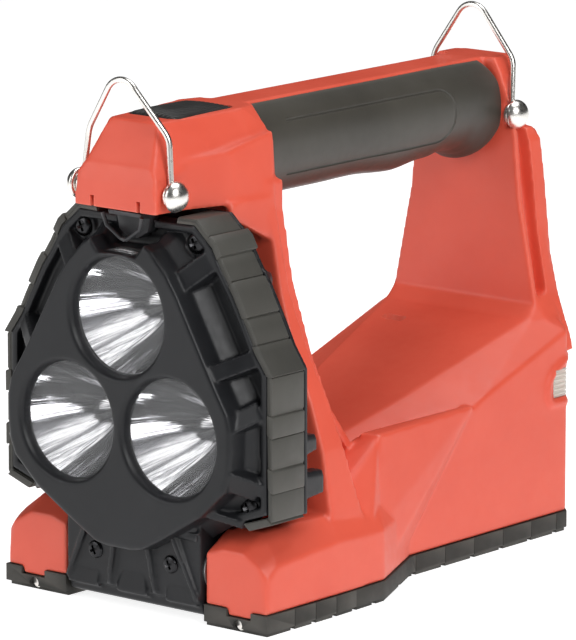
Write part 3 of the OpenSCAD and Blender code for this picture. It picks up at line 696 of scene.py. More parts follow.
def pad_outline(out):
    """Rounded outline of the switch pad, moved outwards by out."""
    middle, half = (PAD_FRONT + PAD_REAR) / 2, (PAD_REAR - PAD_FRONT) / 2 - PAD_CORNER
    return [(sx * (PAD_HALF - PAD_CORNER) + (PAD_CORNER + out) * math.cos(a),
             middle + sy * half + (PAD_CORNER + out) * math.sin(a))
            for sx, sy, turn in ((1, 1, 0), (-1, 1, 90), (-1, -1, 180), (1, -1, 270))
            for a in degrees(turn, turn + 91, 15)]


def make_housing():
    solids = pair(foot()) + pair(flank()) + pair(buttress()) + pair(saddle())
    solids += [rear_body()] + nose() + hood() + list(rear_pillar()) + pair(tail_rim())
    # spine over the grip, and the red tabs that reach down into the boot's front
    solids.append(along_y(symmetric([(9, 155), (9, TOP - 1.2), (7.6, TOP)]), -52, REAR - 3))
    solids += pair(hull([(x, y, z) for z in (BOOT_H - 2.6, 12) for y in (FOOT_FRONT, FOOT_FRONT + 3)
                         for x in (45, 56)]))
    body = union(solids)
    # clear the middle between the feet for the head's tongue
    cut(body, [on_pin(FOOT_IN, RECESS_R),
               block((-FOOT_IN, FRONT - 5, 0), (FOOT_IN, PIN.y, 60)),
               block((-FOOT_IN, PIN.y - 1, PIN.z), (FOOT_IN, PIN.y + RECESS_R, 60)),
               block((-70, FRONT - 5, 37), (70, WALL_Y, HOOD_Z))])
    # cheeks that carry the hood's sides down to the frame behind the head
    union([body] + pair(hull([
        (24.8, -79, 153), (27.9, -79, 153), (25, -79, 147.5), (28.3, -79, 147.5),
        (24.8, -57, 153), (28.4, -57, 153), (25, -57, 136), (29.8, -57, 136)])))
    # flats for the bails' eyelets and the front of the hood above the lip
    for x0, x1 in ((19.75, 45), (-45, -19.75)):
        cut(body, [block((x0, FRONT - 5, HOOD_Z - 1), (x1, FRONT + 12.5, TOP + 5)),
                   rod((x0, REAR_EYE.y, REAR_EYE.z), (x1, REAR_EYE.y, REAR_EYE.z), 5.2),
                   block((x0, REAR - 15.9, 157), (x1, REAR + 2, TOP + 5))])
    soften(body, 0.85, 5)
    thin_out(body, 0.5)
    # crisp openings, cut after the edges are rounded
    cut(body, pair(hull([(x, y, z) for x in (10.3, 12.1) for y in (FRONT - 2, FRONT + 7)
                         for z in (HOOD_Z - 1, 156.2)])))
    cut(body, [along_z(pad_outline(0.35), 174, TOP + 5)])
    # hollow inside: rear and front of the body, hood and column
    cut(body, [rear_body(3), front_body(3)])
    cut(body, hood(2.8))
    cut(body, [along_y(symmetric([(20, 40), (14, 120), (12, 160)]), WALL_Y + 6, -50)])
    tail_opening = ((REAR_X - 6.6, REAR - 2), (REAR_X + 3, REAR - 2), (REAR_X + 3, REAR - 19.7),
                    (REAR_X - 3.1, REAR - 19.7), (REAR_X - 8.4, REAR - 6.8))
    cut(body, pair(hull([(x, y, z) for x, y in tail_opening for z in (54, 65.5)])))
    # slot in the deck over the charge indicator
    slot_x, slot_y, slot_r = -21, 77, 1.8
    cut(body, [hull([(slot_x + end + slot_r * math.cos(a), slot_y + slot_r * math.sin(a), z)
                     for end in (-3.6, 3.6) for a in round_angles(20) for z in (60, 90)])])
    finish_piece(body, "housing_shell", "housing", "body_red", "main_housing", 40)


make_housing()


# ---------------------------------------------------------------- rubber boot

def make_boot():
    """Boot with upright grooves round its wall and lugs under its sole."""
    wall = along_z(body_plan(0.6), 1.6, BOOT_H)
    grooves = [-86, -74, -62, -50, -38, -10, 6, 24, 42, 60, 78, 94]
    lugs = []
    for a, b in zip([FOOT_FRONT - 0.2] + grooves, grooves + [REAR - 3.2]):
        lugs.append(common(along_z(body_plan(-0.6), 0, 2.5), block((-80, a + 1.2, -1), (80, b - 1.2, 3))))
    boot = union([wall] + lugs)
    tools = []
    for y in grooves:
        edge = FOOT_X if y < -30 else (REAR_X if y > 4 else 56)
        for s in (-1, 1):
            tools.append(hull([(s * (edge + x), y + d, z) for x, d in ((0.1, 0), (1.6, -0.9), (1.6, 0.9))
                               for z in (-1, BOOT_H + 1)]))
    cut(boot, tools)
    cut(boot, [along_z(body_plan(-3.2), 5, BOOT_H + 2),
               on_pin(FOOT_IN, RECESS_R + 1.3),
               block((-FOOT_IN, FRONT - 5, -1), (FOOT_IN, PIN.y, 9))])
    for s in (-1, 1):
        lo, hi = sorted((s * 44.7, s * 56.3))
        cut(boot, [block((lo, FRONT, BOOT_H - 2.8), (hi, FOOT_FRONT + 3.3, 12)),
                   rod((s * 50, FRONT, 2.6), (s * 50, FOOT_FRONT + 9, 2.6), 2.25, sides=24)])
    bevel(boot, 0.45, 40)
    finish_piece(boot, "rubber_boot", "housing", "boot_rubber", "base_boot", 40)


make_boot()


# ---------------------------------------------------------------- grip

GRIP_TOP = 185.4
GRIP_HALF_X = 17.9
# powers that square off the round cross-section, sideways and upwards
GRIP_POWER_X, GRIP_POWER_Z = 0.86, 0.92
GRIP_UNDERSIDE = [(-22, 147.1), (4, 147.4), (31, 146.0), (58, 148.0), (69, 149.4), (78, 149.2),
                  (86, 147.0), (92, 145.0)]


def grip_bottom(y):
    pts = GRIP_UNDERSIDE
    if y <= pts[0][0]:
        return pts[0][1]
    for (y0, z0), (y1, z1) in zip(pts, pts[1:]):
        if y <= y1:
            t = (y - y0) / (y1 - y0)
            t = t * t * (3 - 2 * t)
            return z0 + (z1 - z0) * t
    return pts[-1][1]


def grip_front(z):
    t = max(0.0, (183 - z) / 36.5)
    return -53.5 + 12 * t ** 2 + 20 * t ** 8


def grip_rear(z):
    return PILLAR_Y + 1.5 - 6.5 * ((z - 167) / 18) ** 2


def make_grip():
    """Rubber sleeve under the hood's bridge, with a finger-shaped underside."""
    steps, arc = 60, 56
    sections = []
    for k in range(steps + 1):
        f = k / steps
        ring = []
        y_mid = -50 + (PILLAR_Y + 50) * f
        low = grip_bottom(y_mid)
        half_h = (GRIP_TOP - low) / 2
        mid = low + half_h
        for n in range(arc + 1):
            a = math.radians(64 - (64 + 180 + 64) * n / arc)
            x = GRIP_HALF_X * math.copysign(abs(math.cos(a)) ** GRIP_POWER_X, math.cos(a))
            z = mid + half_h * math.copysign(abs(math.sin(a)) ** GRIP_POWER_Z, math.sin(a))
            ring.append((x, z))
        ring += [(-8.9, ring[-1][1] - 0.5), (-8.9, 157), (8.9, 157), (8.9, ring[0][1] - 0.5)]
        section = []
        for x, z in ring:
            y = grip_front(z) * (1 - f) + grip_rear(z) * f
            section.append((x, y, z))
        sections.append(section)
    grip = loft(sections)
    # fine groove round each side panel: a tube that follows the surface
    mid_z, half_z, y0, y1 = 166.5, 10.2, -33, 66
    path = [(y0, mid_z + half_z)]
    path += [(y1 - 9 + 9 * math.sin(a), mid_z + half_z - 9 + 9 * math.cos(a))
             for a in degrees(0, 91, 15)]
    path += [(y1 - 9 + 9 * math.cos(a), mid_z - half_z + 9 - 9 * math.sin(a))
             for a in degrees(0, 91, 15)]
    path += [(y0, mid_z - half_z)]
    dense = []
    for (ya, za), (yb, zb) in zip(path, path[1:]):
        n = max(1, int(math.hypot(yb - ya, zb - za) / 4))
        dense += [(ya + (yb - ya) * j / n, za + (zb - za) * j / n) for j in range(n)]
    dense.append(path[-1])

    def side_x(y, z):
        low = grip_bottom(y)
        half_h = (GRIP_TOP - low) / 2
        s = max(-1.0, min(1.0, (z - low - half_h) / half_h))
        sin_a = math.copysign(abs(s) ** (1 / GRIP_POWER_Z), s)
        return GRIP_HALF_X * (1 - sin_a ** 2) ** (GRIP_POWER_X / 2)

    for s in (-1, 1):
        cut(grip, [tube([(s * (side_x(y, z) + 0.15), y, z) for y, z in dense], 0.75, 10)])
    finish_piece(grip, "grip_sleeve", "housing", "grip_rubber", "handle_grip", 50)


make_grip()


# ---------------------------------------------------------------- switch pad

def make_pad():
    """Ribbed rubber pad: a low dome on a smooth wall, with ribs in shallow arcs along it."""
    bm = bmesh.new()
    nx, ny = 76, 90
    y0, y1 = PAD_FRONT, PAD_REAR
    mid_y, half_y = (y0 + y1) / 2, (y1 - y0) / 2
    grid = []
    for j in range(ny + 1):
        row = []
        for i in range(nx + 1):
            u, v = 2 * i / nx - 1, 2 * j / ny - 1
            x = u * PAD_HALF
            y = mid_y + v * (y1 - y0) / 2
            # rounded edge, low dome and shallow ribs, which fade out towards the edge
            edge = min(1.0, (1 - abs(u)) * 10.2 / 1.6, (1 - abs(v)) * 15.5 / 1.6)
            edge = math.sqrt(max(0.0, 1 - (1 - edge) ** 2))
            dome = (1 - u * u) * (1 - v ** 4)
            z = PAD_HI.z - 3.4 + 1.9 * edge + 1.5 * dome * edge
            inside = min(1.0, (1 - abs(u)) * 5, (1 - abs(v)) * 7)
            wave = math.sin((x + 2.2 * v * v) * math.tau / 2.1)
            z += 0.28 * max(-0.6, wave) * max(0.0, inside)
            # draw the grid's square corners in to the rounded outline
            dx = max(0.0, abs(x) - PAD_HALF + PAD_CORNER) / PAD_CORNER
            dy = max(0.0, abs(y - mid_y) - half_y + PAD_CORNER) / PAD_CORNER
            x -= math.copysign(PAD_CORNER * dx * (1 - math.sqrt(1 - dy * dy / 2)), x)
            y -= math.copysign(PAD_CORNER * dy * (1 - math.sqrt(1 - dx * dx / 2)), y - mid_y)
            row.append(bm.verts.new((x, y, min(z, PAD_HI.z))))
        grid.append(row)
    for j in range(ny):
        for i in range(nx):
            bm.faces.new((grid[j][i], grid[j][i + 1], grid[j + 1][i + 1], grid[j + 1][i]))
    rim = [e for e in bm.edges if e.is_boundary]
    skirt = bmesh.ops.extrude_edge_only(bm, edges=rim)
    for v in skirt["geom"]:
        if isinstance(v, bmesh.types.BMVert):
            v.co.z = max(PAD_LO.z, TOP - 6)
    bmesh.ops.contextual_create(bm, geom=[e for e in bm.edges if e.is_boundary])
    finish_piece(add_object("pad", bm), "switch_pad_ribbed", "button", "pad_rubber", "switch_pad", 60)


make_pad()


# ---------------------------------------------------------------- bails and rivets

WIRE_R = 1.15


def make_bail(node, bend_y, apex_y):
    """Wire bail: each leg curls round its rivet behind the domed head."""
    hi = box_mm(node)[1]
    y0, z0 = (v / MM for v in joint_place(node)[1:])
    eye_x = hi.x - WIRE_R
    height = hi.z - z0 - WIRE_R
    eye_r = 2.15 + WIRE_R
    bend = Vector((eye_x - 1.6, bend_y, 0.49 * (hi.z - z0)))
    apex_r = 8.0
    top_z = height - apex_r
    # the arc starts where the straight leg touches it
    start = (math.atan2(bend.z - top_z, bend.x)
             + math.acos(apex_r / math.hypot(bend.x, bend.z - top_z)))
    arc = [(apex_r * math.cos(a), apex_y, top_z + apex_r * math.sin(a))
           for a in (start + (math.pi / 2 - start) * k / 8 for k in range(8))]
    curl = [(eye_x, eye_r * math.sin(a), eye_r * math.cos(a))
            for a in degrees(-330, 1, 15)]
    leg = rounded([(eye_x, 0, eye_r), (eye_x - 0.3, bend_y * 0.2, 7), bend, arc[0]], 3.0, 7)
    leg += [Vector(p) for p in arc[1:]] + [Vector((0, apex_y, height))]
    right = [Vector(p) for p in curl[:-1]] + leg
    left = [Vector((-p.x, p.y, p.z)) for p in reversed(right)]
    path = [p + Vector((0, y0, z0)) for p in right + left[1:]]
    bail = tube(path, WIRE_R, 20)
    finish_piece(bail, node + "_wire", node, "bail_steel", node, 60)


def make_rivets(node, bail):
    """Domed rivets that a bail turns on, one at each side."""
    lo, hi = box_mm(node)
    y0, z0 = (v / MM for v in joint_place(bail)[1:])
    head_r = (hi.z - lo.z) / 2
    head_x = hi.x - (head_r - 0.6)
    profile = [(1.95, head_x - 5.4), (1.95, head_x), (head_r - 0.5, head_x), (head_r, head_x + 0.5)]
    profile += [(head_r * math.cos(a), head_x + 0.5 + (head_r - 1.1) * math.sin(a))
                for a in degrees(8, 91, 8)]
    profile[-1] = (0, head_x + head_r - 0.6)
    profile.insert(0, (0, head_x - 5.4))
    right = lathe(profile, (0, y0, z0), (1, 0, 0), 48)
    rivets = join([right, mirrored(right)])
    finish_piece(rivets, node + "_domed", "housing", "bail_steel", node, 50)


make_bail("front_bail", 1, -2.7)
make_bail("rear_bail", 2.7, 1.7)
make_rivets("rivets_front", "front_bail")
make_rivets("rivets_rear", "rear_bail")


# ---------------------------------------------------------------- head

HEAD_HALF_OUTLINE = [(34, 45), (44, 41), (53, 37.6), (HEAD_HALF, 42), (HEAD_HALF, 97), (60, 105),
                     (56, 113), (49, 126), (43, 135), (38.5, 143), (29.5, HEAD_TOP)]


def head_outline(inset):
    sx, sz = 1 - inset / HEAD_HALF, 1 - inset / (HEAD_TOP - HEAD_MID)
    return symmetric([(x * sx, HEAD_MID + (z - HEAD_MID) * sz) for x, z in HEAD_HALF_OUTLINE])


FACE_HALF = [(6, 25.4), (11, 26.2), (21.4, 31.8), (39.5, 42.7), (51.1, 53.4), (53.6, 59.7), (54.3, 68),
             (54.3, 76.7), (53, 82.4), (47.4, 91.5), (43.6, 97.9), (34.7, 113.5), (29, 123.6),
             (24.6, 130), (16.6, 138.4), (13, 140.2), (9, 135.5)]


def face_outline(out):
    mid_z = 84
    return symmetric([(x * (1 + out / 54), mid_z + (z - mid_z) * (1 + out / 56)) for x, z in FACE_HALF])


def stage_loft(outlines):
    """Solid through (y, outline) stages."""
    return loft([[(x, y, z) for x, z in outline] for y, outline in outlines])


def face_rib(p, q, wide, y_face, y_frame, y_back):
    """Rib from the face plate out to the frame; its ridge falls from y_face to y_frame."""
    p, q = Vector((p[0], 0, p[1])), Vector((q[0], 0, q[1]))
    d = (q - p).normalized()
    n = Vector((-d.z, 0, d.x)) * (wide / 2)
    pts = []
    for point, y in ((p, y_face), (q, y_frame)):
        for s in (-1, 1):
            pts.append(Vector((point.x, y, point.z)) + n * s)
            pts.append(Vector((point.x, y_back, point.z)) + n * s * 1.25)
    return hull(pts)


TOP_OPENING_DROP = 0.9


def make_bezel():
    """Face plate with its three lamp openings, the frame round it and the ribs between them."""
    y = FRONT
    plate = stage_loft([(y, face_outline(-1.1)), (y + 0.35, face_outline(-0.5)), (y + 1.1, face_outline(0)),
                        (y + 8.5, face_outline(0.6)), (y + 16.5, face_outline(6.5))])
    pan = along_y(head_outline(3.6), y + 15.5, y + 21)
    rim = cut(along_y(head_outline(3.4), RING_FRONT, y + 17),
              [along_y(head_outline(6.2), RING_FRONT - 1, y + 16)])
    body = union([plate, pan, rim])
    ribs = [((19, 121), (36.2, 136.2), 8, 0.9), ((43.5, 95.8), (56.6, 102.3), 6, 0.9),
            ((51.5, 78.3), (59, 83.7), 7, 0.9), ((52, 58), (58.8, 52.6), 8, 0.9),
            ((39, 44.6), (51, 39.7), 3, 1.8)]
    for p, q, wide, start in ribs:
        rib = face_rib(p, q, wide, y + start, RING_FRONT + 0.2, y + 17)
        union([body] + pair(rib))
    for x, z in FACE_SCREWS:
        union([body] + pair(rod((x, y + 13.8, z), (x, y + 17, z), 5.2)))
    # skirt that closes the head below the face plate
    skirt = [(31.5, y + 8, 31), (31.5, y + 16, 31), (31.5, y + 9, 46), (31.5, y + 16, 46)]
    union([body, hull(both(skirt))])
    for key, (x, z) in LAMPS.items():
        if key == "top":
            z -= TOP_OPENING_DROP
        cut(body, [lathe([(0, -y + 3), (LAMP_R + 1.0, -y + 3), (LAMP_R + 1.0, -y - 0.05),
                          (LAMP_R - 0.1, -y - 1.6), (LAMP_R - 0.6, -y - 5.0), (24.15, -y - 5.4),
                          (24.15, -y - 30), (0, -y - 30)], (x, 0, z), (0, -1, 0), 96)])
    # notch at the top where the latch tab hooks under the hood
    cut(body, [hull(both([(10, y - 1, 137), (8, y - 1, 152), (10, y + 15, 137), (8, y + 15, 152)]))])
    soften(body, 0.62, 3)
    thin_out(body, 0.55)
    for x, z in FACE_SCREWS:
        cut(body, [rod((s * x, y, z), (s * x, y + 30, z), 1.75) for s in (-1, 1)])
    finish_piece(body, "face_bezel", "head", "bezel_black", "head_bezel", 40)


def stretch(points, a, b):
    """The part of a polyline between lengths a and b along it."""
    out, run = [], 0.0
    for p, q in zip(points, points[1:]):
        p, q = Vector(p), Vector(q)
        length = (q - p).length
        if run + length > a and not out:
            out.append(p.lerp(q, max(0.0, (a - run) / length)))
        if out and run + length < b:
            out.append(q)
        if run + length >= b:
            out.append(p.lerp(q, (b - run) / length))
            break
        run += length
    return out


def length_at(points, z):
    """Length along a rising polyline up to height z."""
    run = 0.0
    for p, q in zip(points, points[1:]):
        length = (Vector(q) - Vector(p)).length
        if q[1] >= z:
            return run + length * (z - p[1]) / (q[1] - p[1])
        run += length
    return run


def ring_block(outer, inner_inset, y0, y1, lift):
    """One block of the bumper: a stretch of the outline, thickened inwards."""
    mid = Vector((0, HEAD_MID))
    ring_out, ring_in = [], []
    for p in outer:
        d = (p - mid).normalized()
        ring_out.append(p + d * lift)
        ring_in.append(p - d * inner_inset)
    return along_y([tuple(p) for p in ring_out + ring_in[::-1]], y0, y1)


def make_bumper():
    """Rubber blocks round the head, in turn a little higher and lower, parted by grooves."""
    side = HEAD_HALF_OUTLINE[2:]
    total = sum((Vector(q) - Vector(p)).length for p, q in zip(side, side[1:]))
    heights = [42, 52.9, 61.7, 73.5, 82, 96.5, 107.5, 117, 129.7, 138.3, 145.4]
    cuts = [length_at(side, z) for z in heights] + [total + 9]
    outline = [Vector(p) for p in side] + [Vector((19.5, HEAD_TOP))]
    blocks = []
    for k, (a, b) in enumerate(zip(cuts, cuts[1:])):
        lift = -0.1 if k % 2 else -0.8
        part = stretch(outline, a + 0.22, min(b, total + 9.5) - 0.22)
        back = RING_BACK - (0.5 if k % 2 else 0)
        if k == len(cuts) - 3:
            back = RING_BACK + 2.5
        piece = ring_block(part, 3.4 + lift, RING_FRONT + (0 if k % 2 else 0.5), back, lift)
        bevel(piece, 0.6, 25)
        blocks.append(piece)
    backing = ring_block(stretch(outline, 0.5, total + 9), 3.6, RING_FRONT + 0.8, RING_BACK - 0.4, -1.3)
    lower = [Vector((54, 38)), Vector((HEAD_HALF, 42)) - Vector((0.5, 0.16))]
    blocks += [backing, bevel(ring_block(lower, 3.4, RING_FRONT, RING_BACK, -0.1), 0.5, 25)]
    half = join(blocks)
    bumper = join([half, mirrored(half)])
    finish_piece(bumper, "bumper_blocks", "head", "bumper_grey", "head_bumper", 30)


def make_head_shell():
    """Tapered back of the head with its steadying fingers, and the tongue that turns on the pin."""
    y0, y1 = RING_BACK, SHELL_BACK
    cup = stage_loft([(y0 - 1, head_outline(3.6)), (y0 + 1, head_outline(3.9)), (y1, head_outline(21))])
    room = stage_loft([(y0 - 2, head_outline(6.6)), (y0 + 1, head_outline(6.9)),
                       (y1 - 3, head_outline(24))])
    outer = cut(cup, [room])
    rim = cut(along_y(head_outline(0.8), y0, y0 + 2), [along_y(head_outline(5), y0 - 1, y0 + 3)])
    union([outer, rim])
    for wide, z0, z1, reach in ((63.4, 62.5, 72, 12), (63.4, 46, 58, 16), (47.5, 120, 131, 6)):
        tip = y0 + reach
        finger = hull([(wide - x, y, z) for x, y, z in (
            (8, y0 - 0.5, z0), (8, y0 - 0.5, z1), (1, y0 - 0.5, z1), (0, y0 - 0.5, z0 + 1),
            (0, y0 - 0.5, z1 - 2.5), (8, tip, z0 + 1), (8, tip, z1 - 2), (2.6, tip, z0 + 1.6),
            (2.6, tip, z1 - 4), (3.4, tip, z1 - 2))])
        for part in pair(bevel(finger, 0.5)):
            union([outer, part])
    swing = (HEAD_TOP - PIN.z) + 0.35
    common(outer, on_pin(90, swing, 256))
    w = 32.7
    tongue = on_pin(w, 18.4)
    neck = along_x([(PIN.y - 13.6, PIN.z + 8), (FRONT + 10.5, 40), (FRONT + 16.5, 47), (y0 + 4, 47),
                    (y0 + 8, 38), (PIN.y + 13.6, PIN.z + 8)], -w, w)
    body = union([outer, tongue, neck])
    cut(body, [block((-w - 1, FRONT - 1, -1), (w + 1, PIN.y - 9, 34))])
    # three pyramid gussets and the ribs between the screw pockets
    f = FRONT + 6.6
    gussets = []
    for low, high, z in ((-24.2, -20.5, 16.5), (0, 0, 20), (24.2, 20.5, 16.5)):
        gussets.append(hull([(x, y, h) for d in (-1, 1) for x, y, h in (
            (high + 3 * d, f + 3.2, z), (low + 7.6 * d, f + 1.0, 7), (low + 7.6 * d, f + 6, 5.6),
            (low + 7.6 * d, PIN.y - 8, 6), (high + 3.4 * d, PIN.y - 8, z + 4))]))
    for x in (-w + 0.9, -11.2, 11.2, w - 0.9):
        lean = 0.35 * x
        gussets.append(hull([(x - 0.9, f + 1, 9), (x + 0.9, f + 1, 9), (x - 0.9, PIN.y - 8, 7),
                             (x + 0.9, PIN.y - 8, 7), (x - lean - 1.1, f - 0.5, 32),
                             (x - lean + 1.1, f - 0.5, 32), (x - lean - 1.1, PIN.y - 8, 38),
                             (x - lean + 1.1, PIN.y - 8, 38)]))
    back_wall = block((-w, PIN.y - 10.5, 8), (w, PIN.y - 8, 38))
    union([body, back_wall] + gussets)
    x, z = LOW_SCREW
    for s in (-1, 1):
        union([body, rod((s * x, FRONT + 9.6, z), (s * x, PIN.y - 8, z), 4.4)])
    common(body, cut(block((-90, FRONT, -5), (90, SHELL_BACK + 1, 160)),
                     [cut(block((-w - 2, FRONT - 1, -6), (w + 2, PIN.y + 19, PIN.z + 2)),
                          [on_pin(50, 19, 128)])]))
    soften(body, 0.62, 2)
    thin_out(body, 0.5)
    cut(body, [on_pin(50, 2.56, 64),
               rod((0, -75, 60), (0, WALL_Y, 60), 5)])
    finish_piece(body, "rear_shell", "head", "bezel_black", "head_shell", 40)


def make_reflector(key):
    """Fluted paraboloid reflector with a flat bright rim."""
    x, z = LAMPS[key]
    focus = REFLECTOR_R ** 2 / (4 * REFLECTOR_DEPTH)
    rings, sides, r0 = 30, 180, 4.2
    base = RIM_Y + REFLECTOR_DEPTH
    bm = bmesh.new()
    inner = []
    for k in range(rings + 1):
        r = r0 + (REFLECTOR_R - r0) * k / rings
        row = []
        for n in range(sides):
            a = math.tau * n / sides
            fade = math.sin(math.pi * min(1.0, k / rings)) ** 0.5
            rr = r + 0.32 * fade * math.cos(20 * a) * r / REFLECTOR_R
            y = base - rr * rr / (4 * focus)
            row.append(bm.verts.new((x + rr * math.cos(a), y, z + rr * math.sin(a))))
        inner.append(row)
    outer_profile = [(23.4, RIM_Y), (23.5, RIM_Y + 0.2), (23.5, RIM_Y + 1.2)]
    outer_profile += [(r + 1, base - r * r / (4 * focus) + 1)
                      for r in (REFLECTOR_R - 0.6 - (REFLECTOR_R - 0.6 - r0) * k / 12 for k in range(13))]
    rows = inner + [[bm.verts.new((x + r * math.cos(a), y, z + r * math.sin(a)))
                     for a in round_angles(sides)] for r, y in outer_profile]
    for low, high in zip(rows, rows[1:] + rows[:1]):
        bridge(bm, low, high)
    around = bm.loops.layers.uv.new("around")
    for face in bm.faces:
        angles = [math.atan2(v.co.z - z, v.co.x - x) for v in face.verts]
        wrap = max(angles) - min(angles) > math.pi
        for loop in face.loops:
            v = loop.vert.co
            a = math.atan2(v.z - z, v.x - x)
            turn = (a + math.tau if wrap and a < 0 else a) / math.tau
            loop[around].uv = (turn, math.hypot(v.x - x, v.z - z) / LAMP_R)
    finish_piece(add_object("reflector", bm), "reflector_fluted_" + key, "head",
                 "reflector_chrome", "reflector_" + key, 30)


def make_lens(key):
    x, z = LAMPS[key]
    lo, hi = box_mm("lens_" + key)
    y0, y1, r = -hi.y, -lo.y, (hi.x - lo.x) / 2
    profile = [(0, y0), (r, y0), (r, y1 - 0.3), (r - 0.3, y1)]
    profile += [(r - 0.3 - (r - 0.3) * k / 8, y1) for k in range(1, 9)]
    disc = lathe(profile, (x, 0, z), (0, -1, 0), 96)
    finish_piece(disc, "lens_disc_" + key, "head", "lens_clear", "lens_" + key, 40)


def make_emitter(key):
    """Chip package with a domed lens at the bottom of its reflector."""
    x, z = LAMPS[key]
    y = box_mm("led_" + key)[1].y
    base = bevel(block((x - 2.3, y - 1, z - 2.3), (x + 2.3, y, z + 2.3)), 0.15)
    curve = [(1.9 * math.cos(a), 1 + 2.2 * math.sin(a)) for a in degrees(10, 81, 10)]
    dome = lathe([(0, 1), (1.9, 1)] + curve + [(0, 3.2)], (x, y, z), (0, -1, 0), 32)
    finish_piece(join([base, dome]), "emitter_" + key, "head", "led_emitter", "led_" + key, 50)


def pan_screw(x, y, z, head_r, length):
    """Pan-head screw with a cross recess; its head's face is at y."""
    shank_r = 1.6
    profile = [(0, 0), (head_r * 0.55, 0.05), (head_r * 0.85, 0.4), (head_r, 1.1), (head_r, 2.0),
               (shank_r, 2.0), (shank_r, length), (0, length)]
    screw = lathe(profile, (x, y, z), (0, 1, 0), 40)
    arm, wide = head_r * 0.62, head_r * 0.15
    for turn in (25, 115):
        c, s = math.cos(math.radians(turn)), math.sin(math.radians(turn))
        cut(screw, [hull([(x + c * u * reach - s * v * wide, y + d, z + s * u * reach + c * v * wide)
                          for reach, d in ((arm, -0.5), (arm * 0.45, 1.5))
                          for u in (-1, 1) for v in (-1, 1)])])
    return screw


def make_head_screws():
    parts = []
    top, side = FACE_SCREWS
    for s in (-1, 1):
        for (x, z), y, head_r, length in ((top, 12, 3.9, 16), (side, 12, 3.9, 8), (LOW_SCREW, 7.6, 3.4, 7)):
            parts.append(pan_screw(s * x, FRONT + y, z, head_r, length))
    finish_piece(join(parts), "cross_screws", "head", "black_screws", "head_screws", 35)


def make_latch():
    """Sprung tab with a V-shaped rib, hooked under the hood's lip."""
    y0 = FRONT + 4
    half_vee = [(9.5, y0, 149.5), (8, y0 + 0.5, 145), (1.6, y0 + 1, 140.6), (0, y0 + 1, 140.2)]
    rib = [tube([(s * x, y, z) for x, y, z in half_vee], 0.8, 12) for s in (-1, 1)]
    plate = bevel(hull(both([(8.4, y0 + 6, 150), (8.4, y0 + 11.4, 150), (7, y0 + 6, 143), (2, y0 + 6, 140),
                             (7, y0 + 11.4, 143), (2, y0 + 11.4, 140)])), 0.6)
    hook = bevel(hull(both([(8, y0 + 1, 150.6), (8, y0 + 7, 150.6), (8, y0 + 1.5, 149),
                            (8, y0 + 7, 148)])), 0.4)
    finish_piece(join(rib + [plate, hook]), "latch_tab_vee", "head", "bezel_black", "latch_tab", 40)


make_bezel()
make_bumper()
make_head_shell()
for lamp in LAMPS:
    make_reflector(lamp)
    make_lens(lamp)
    make_emitter(lamp)
make_head_screws()
make_latch()


# ---------------------------------------------------------------- tail lights

def make_tail_lens(side):
    """Clear corner lens with level ribs on its face."""
    x, c = REAR_X, REAR - 11
    outer = [(x - 0.4, c - 8.4), (x - 0.4, c - 0.2), (x - 6.4, REAR - 4.8)]
    inner = [(x - 8.2, REAR - 6.6), (x - 2.9, c - 1.2), (x - 2.9, c - 8.4)]
    lens = along_z(outer + inner, 54.2, 65.3)
    ribs = []
    for k in range(6):
        z = 55.4 + k * 1.85
        path = [(x - 0.5, c - 8.2, z), (x - 0.5, c - 0.3, z), (x - 6.3, REAR - 5, z)]
        ribs.append(tube(path, 0.62, 10))
    lens = join([lens] + ribs)
    if side == "left":
        lens.data.transform(Matrix.Scale(-1, 4, (1, 0, 0)))
        lens.data.flip_normals()
    finish_piece(lens, "tail_lens_ribbed_" + side, "housing", "tail_lens", "tail_lens_" + side, 40)


make_tail_lens("right")
make_tail_lens("left")


# ---------------------------------------------------------------- studio

AZIMUTH, ELEVATION = math.radians(39.81), math.radians(11.52)
DISTANCE = 2.1598
TARGET = Vector((0, -0.01324, 0.09577))


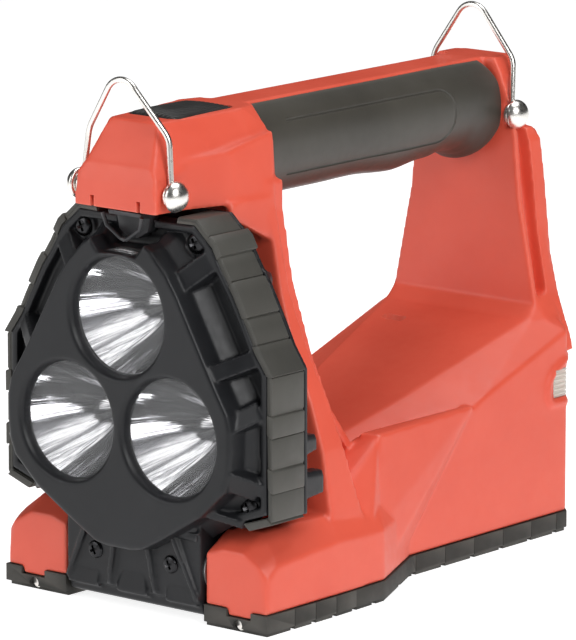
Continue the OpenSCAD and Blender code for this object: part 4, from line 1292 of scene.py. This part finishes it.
def make_floor():
    """White paper under the lantern, large enough to fill the view from every side."""
    bm = bmesh.new()
    for x, y in ((-6, -6), (6, -6), (6, 6), (-6, 6)):
        bm.verts.new((x, y, 0))
    bm.faces.new(bm.verts)
    floor = add_object("floor", bm)
    mat, tree, shader = new_material("white_paper", (0.60, 0.60, 0.60), 0.6, specular=0.0)
    set_inputs(tree, shader, {"Emission Color": (1, 1, 1, 1), "Emission Strength": 0.85})
    floor.data.materials.append(mat)


def area_light(name, location, target, size, power):
    data = bpy.data.lights.new(name, "AREA")
    data.shape = "RECTANGLE"
    data.size, data.size_y = size
    data.energy = power
    light = bpy.data.objects.new(name, data)
    light.location = location
    aim = Vector(target) - Vector(location)
    light.rotation_euler = aim.to_track_quat("-Z", "Y").to_euler()
    bpy.context.scene.collection.objects.link(light)


def make_world():
    """Dim studio, brighter overhead, with upright streaks that show up in the reflectors."""
    world = bpy.data.worlds.new("studio")
    world.use_nodes = True
    tree = world.node_tree
    back = tree.nodes["Background"]
    place = add_node(tree, "TexCoord", {}).outputs["Generated"]
    height = add_node(tree, "SeparateXYZ", {"Vector": place}).outputs["Z"]
    rise = span(tree, height, 0.28, 0.66, -0.15, 0.6)
    stripe = span(tree, streaks(tree, place, (1.9, 1.9, 0.3), 1.6, 1.0), 0.15, 2.3, 0.42, 0.60)
    product = add_node(tree, "Math", {0: rise, 1: stripe})
    product.operation = "MULTIPLY"
    set_inputs(tree, back, {"Strength": product.outputs["Value"]})
    bpy.context.scene.world = world


def make_camera():
    data = bpy.data.cameras.new("camera")
    data.sensor_width = 36
    data.lens = 321.2
    data.clip_start = 0.05
    camera = bpy.data.objects.new("camera", data)
    back = Vector((math.sin(AZIMUTH) * math.cos(ELEVATION), -math.cos(AZIMUTH) * math.cos(ELEVATION),
                   math.sin(ELEVATION)))
    camera.location = TARGET + back * DISTANCE
    camera.rotation_euler = back.to_track_quat("Z", "Y").to_euler()
    bpy.context.scene.collection.objects.link(camera)
    bpy.context.scene.camera = camera


make_floor()
make_world()
make_camera()
area_light("key", (1.35, -0.55, 1.05), (0, 0, 0.09), (0.8, 0.9), 17)
area_light("fill", (-0.9, -1.5, 0.8), (0, 0, 0.09), (0.9, 1.2), 11)
area_light("top", (0.1, 0.2, 1.5), (0, 0, 0.1), (0.8, 1.0), 11)
bpy.context.scene.view_settings.view_transform = "Standard"
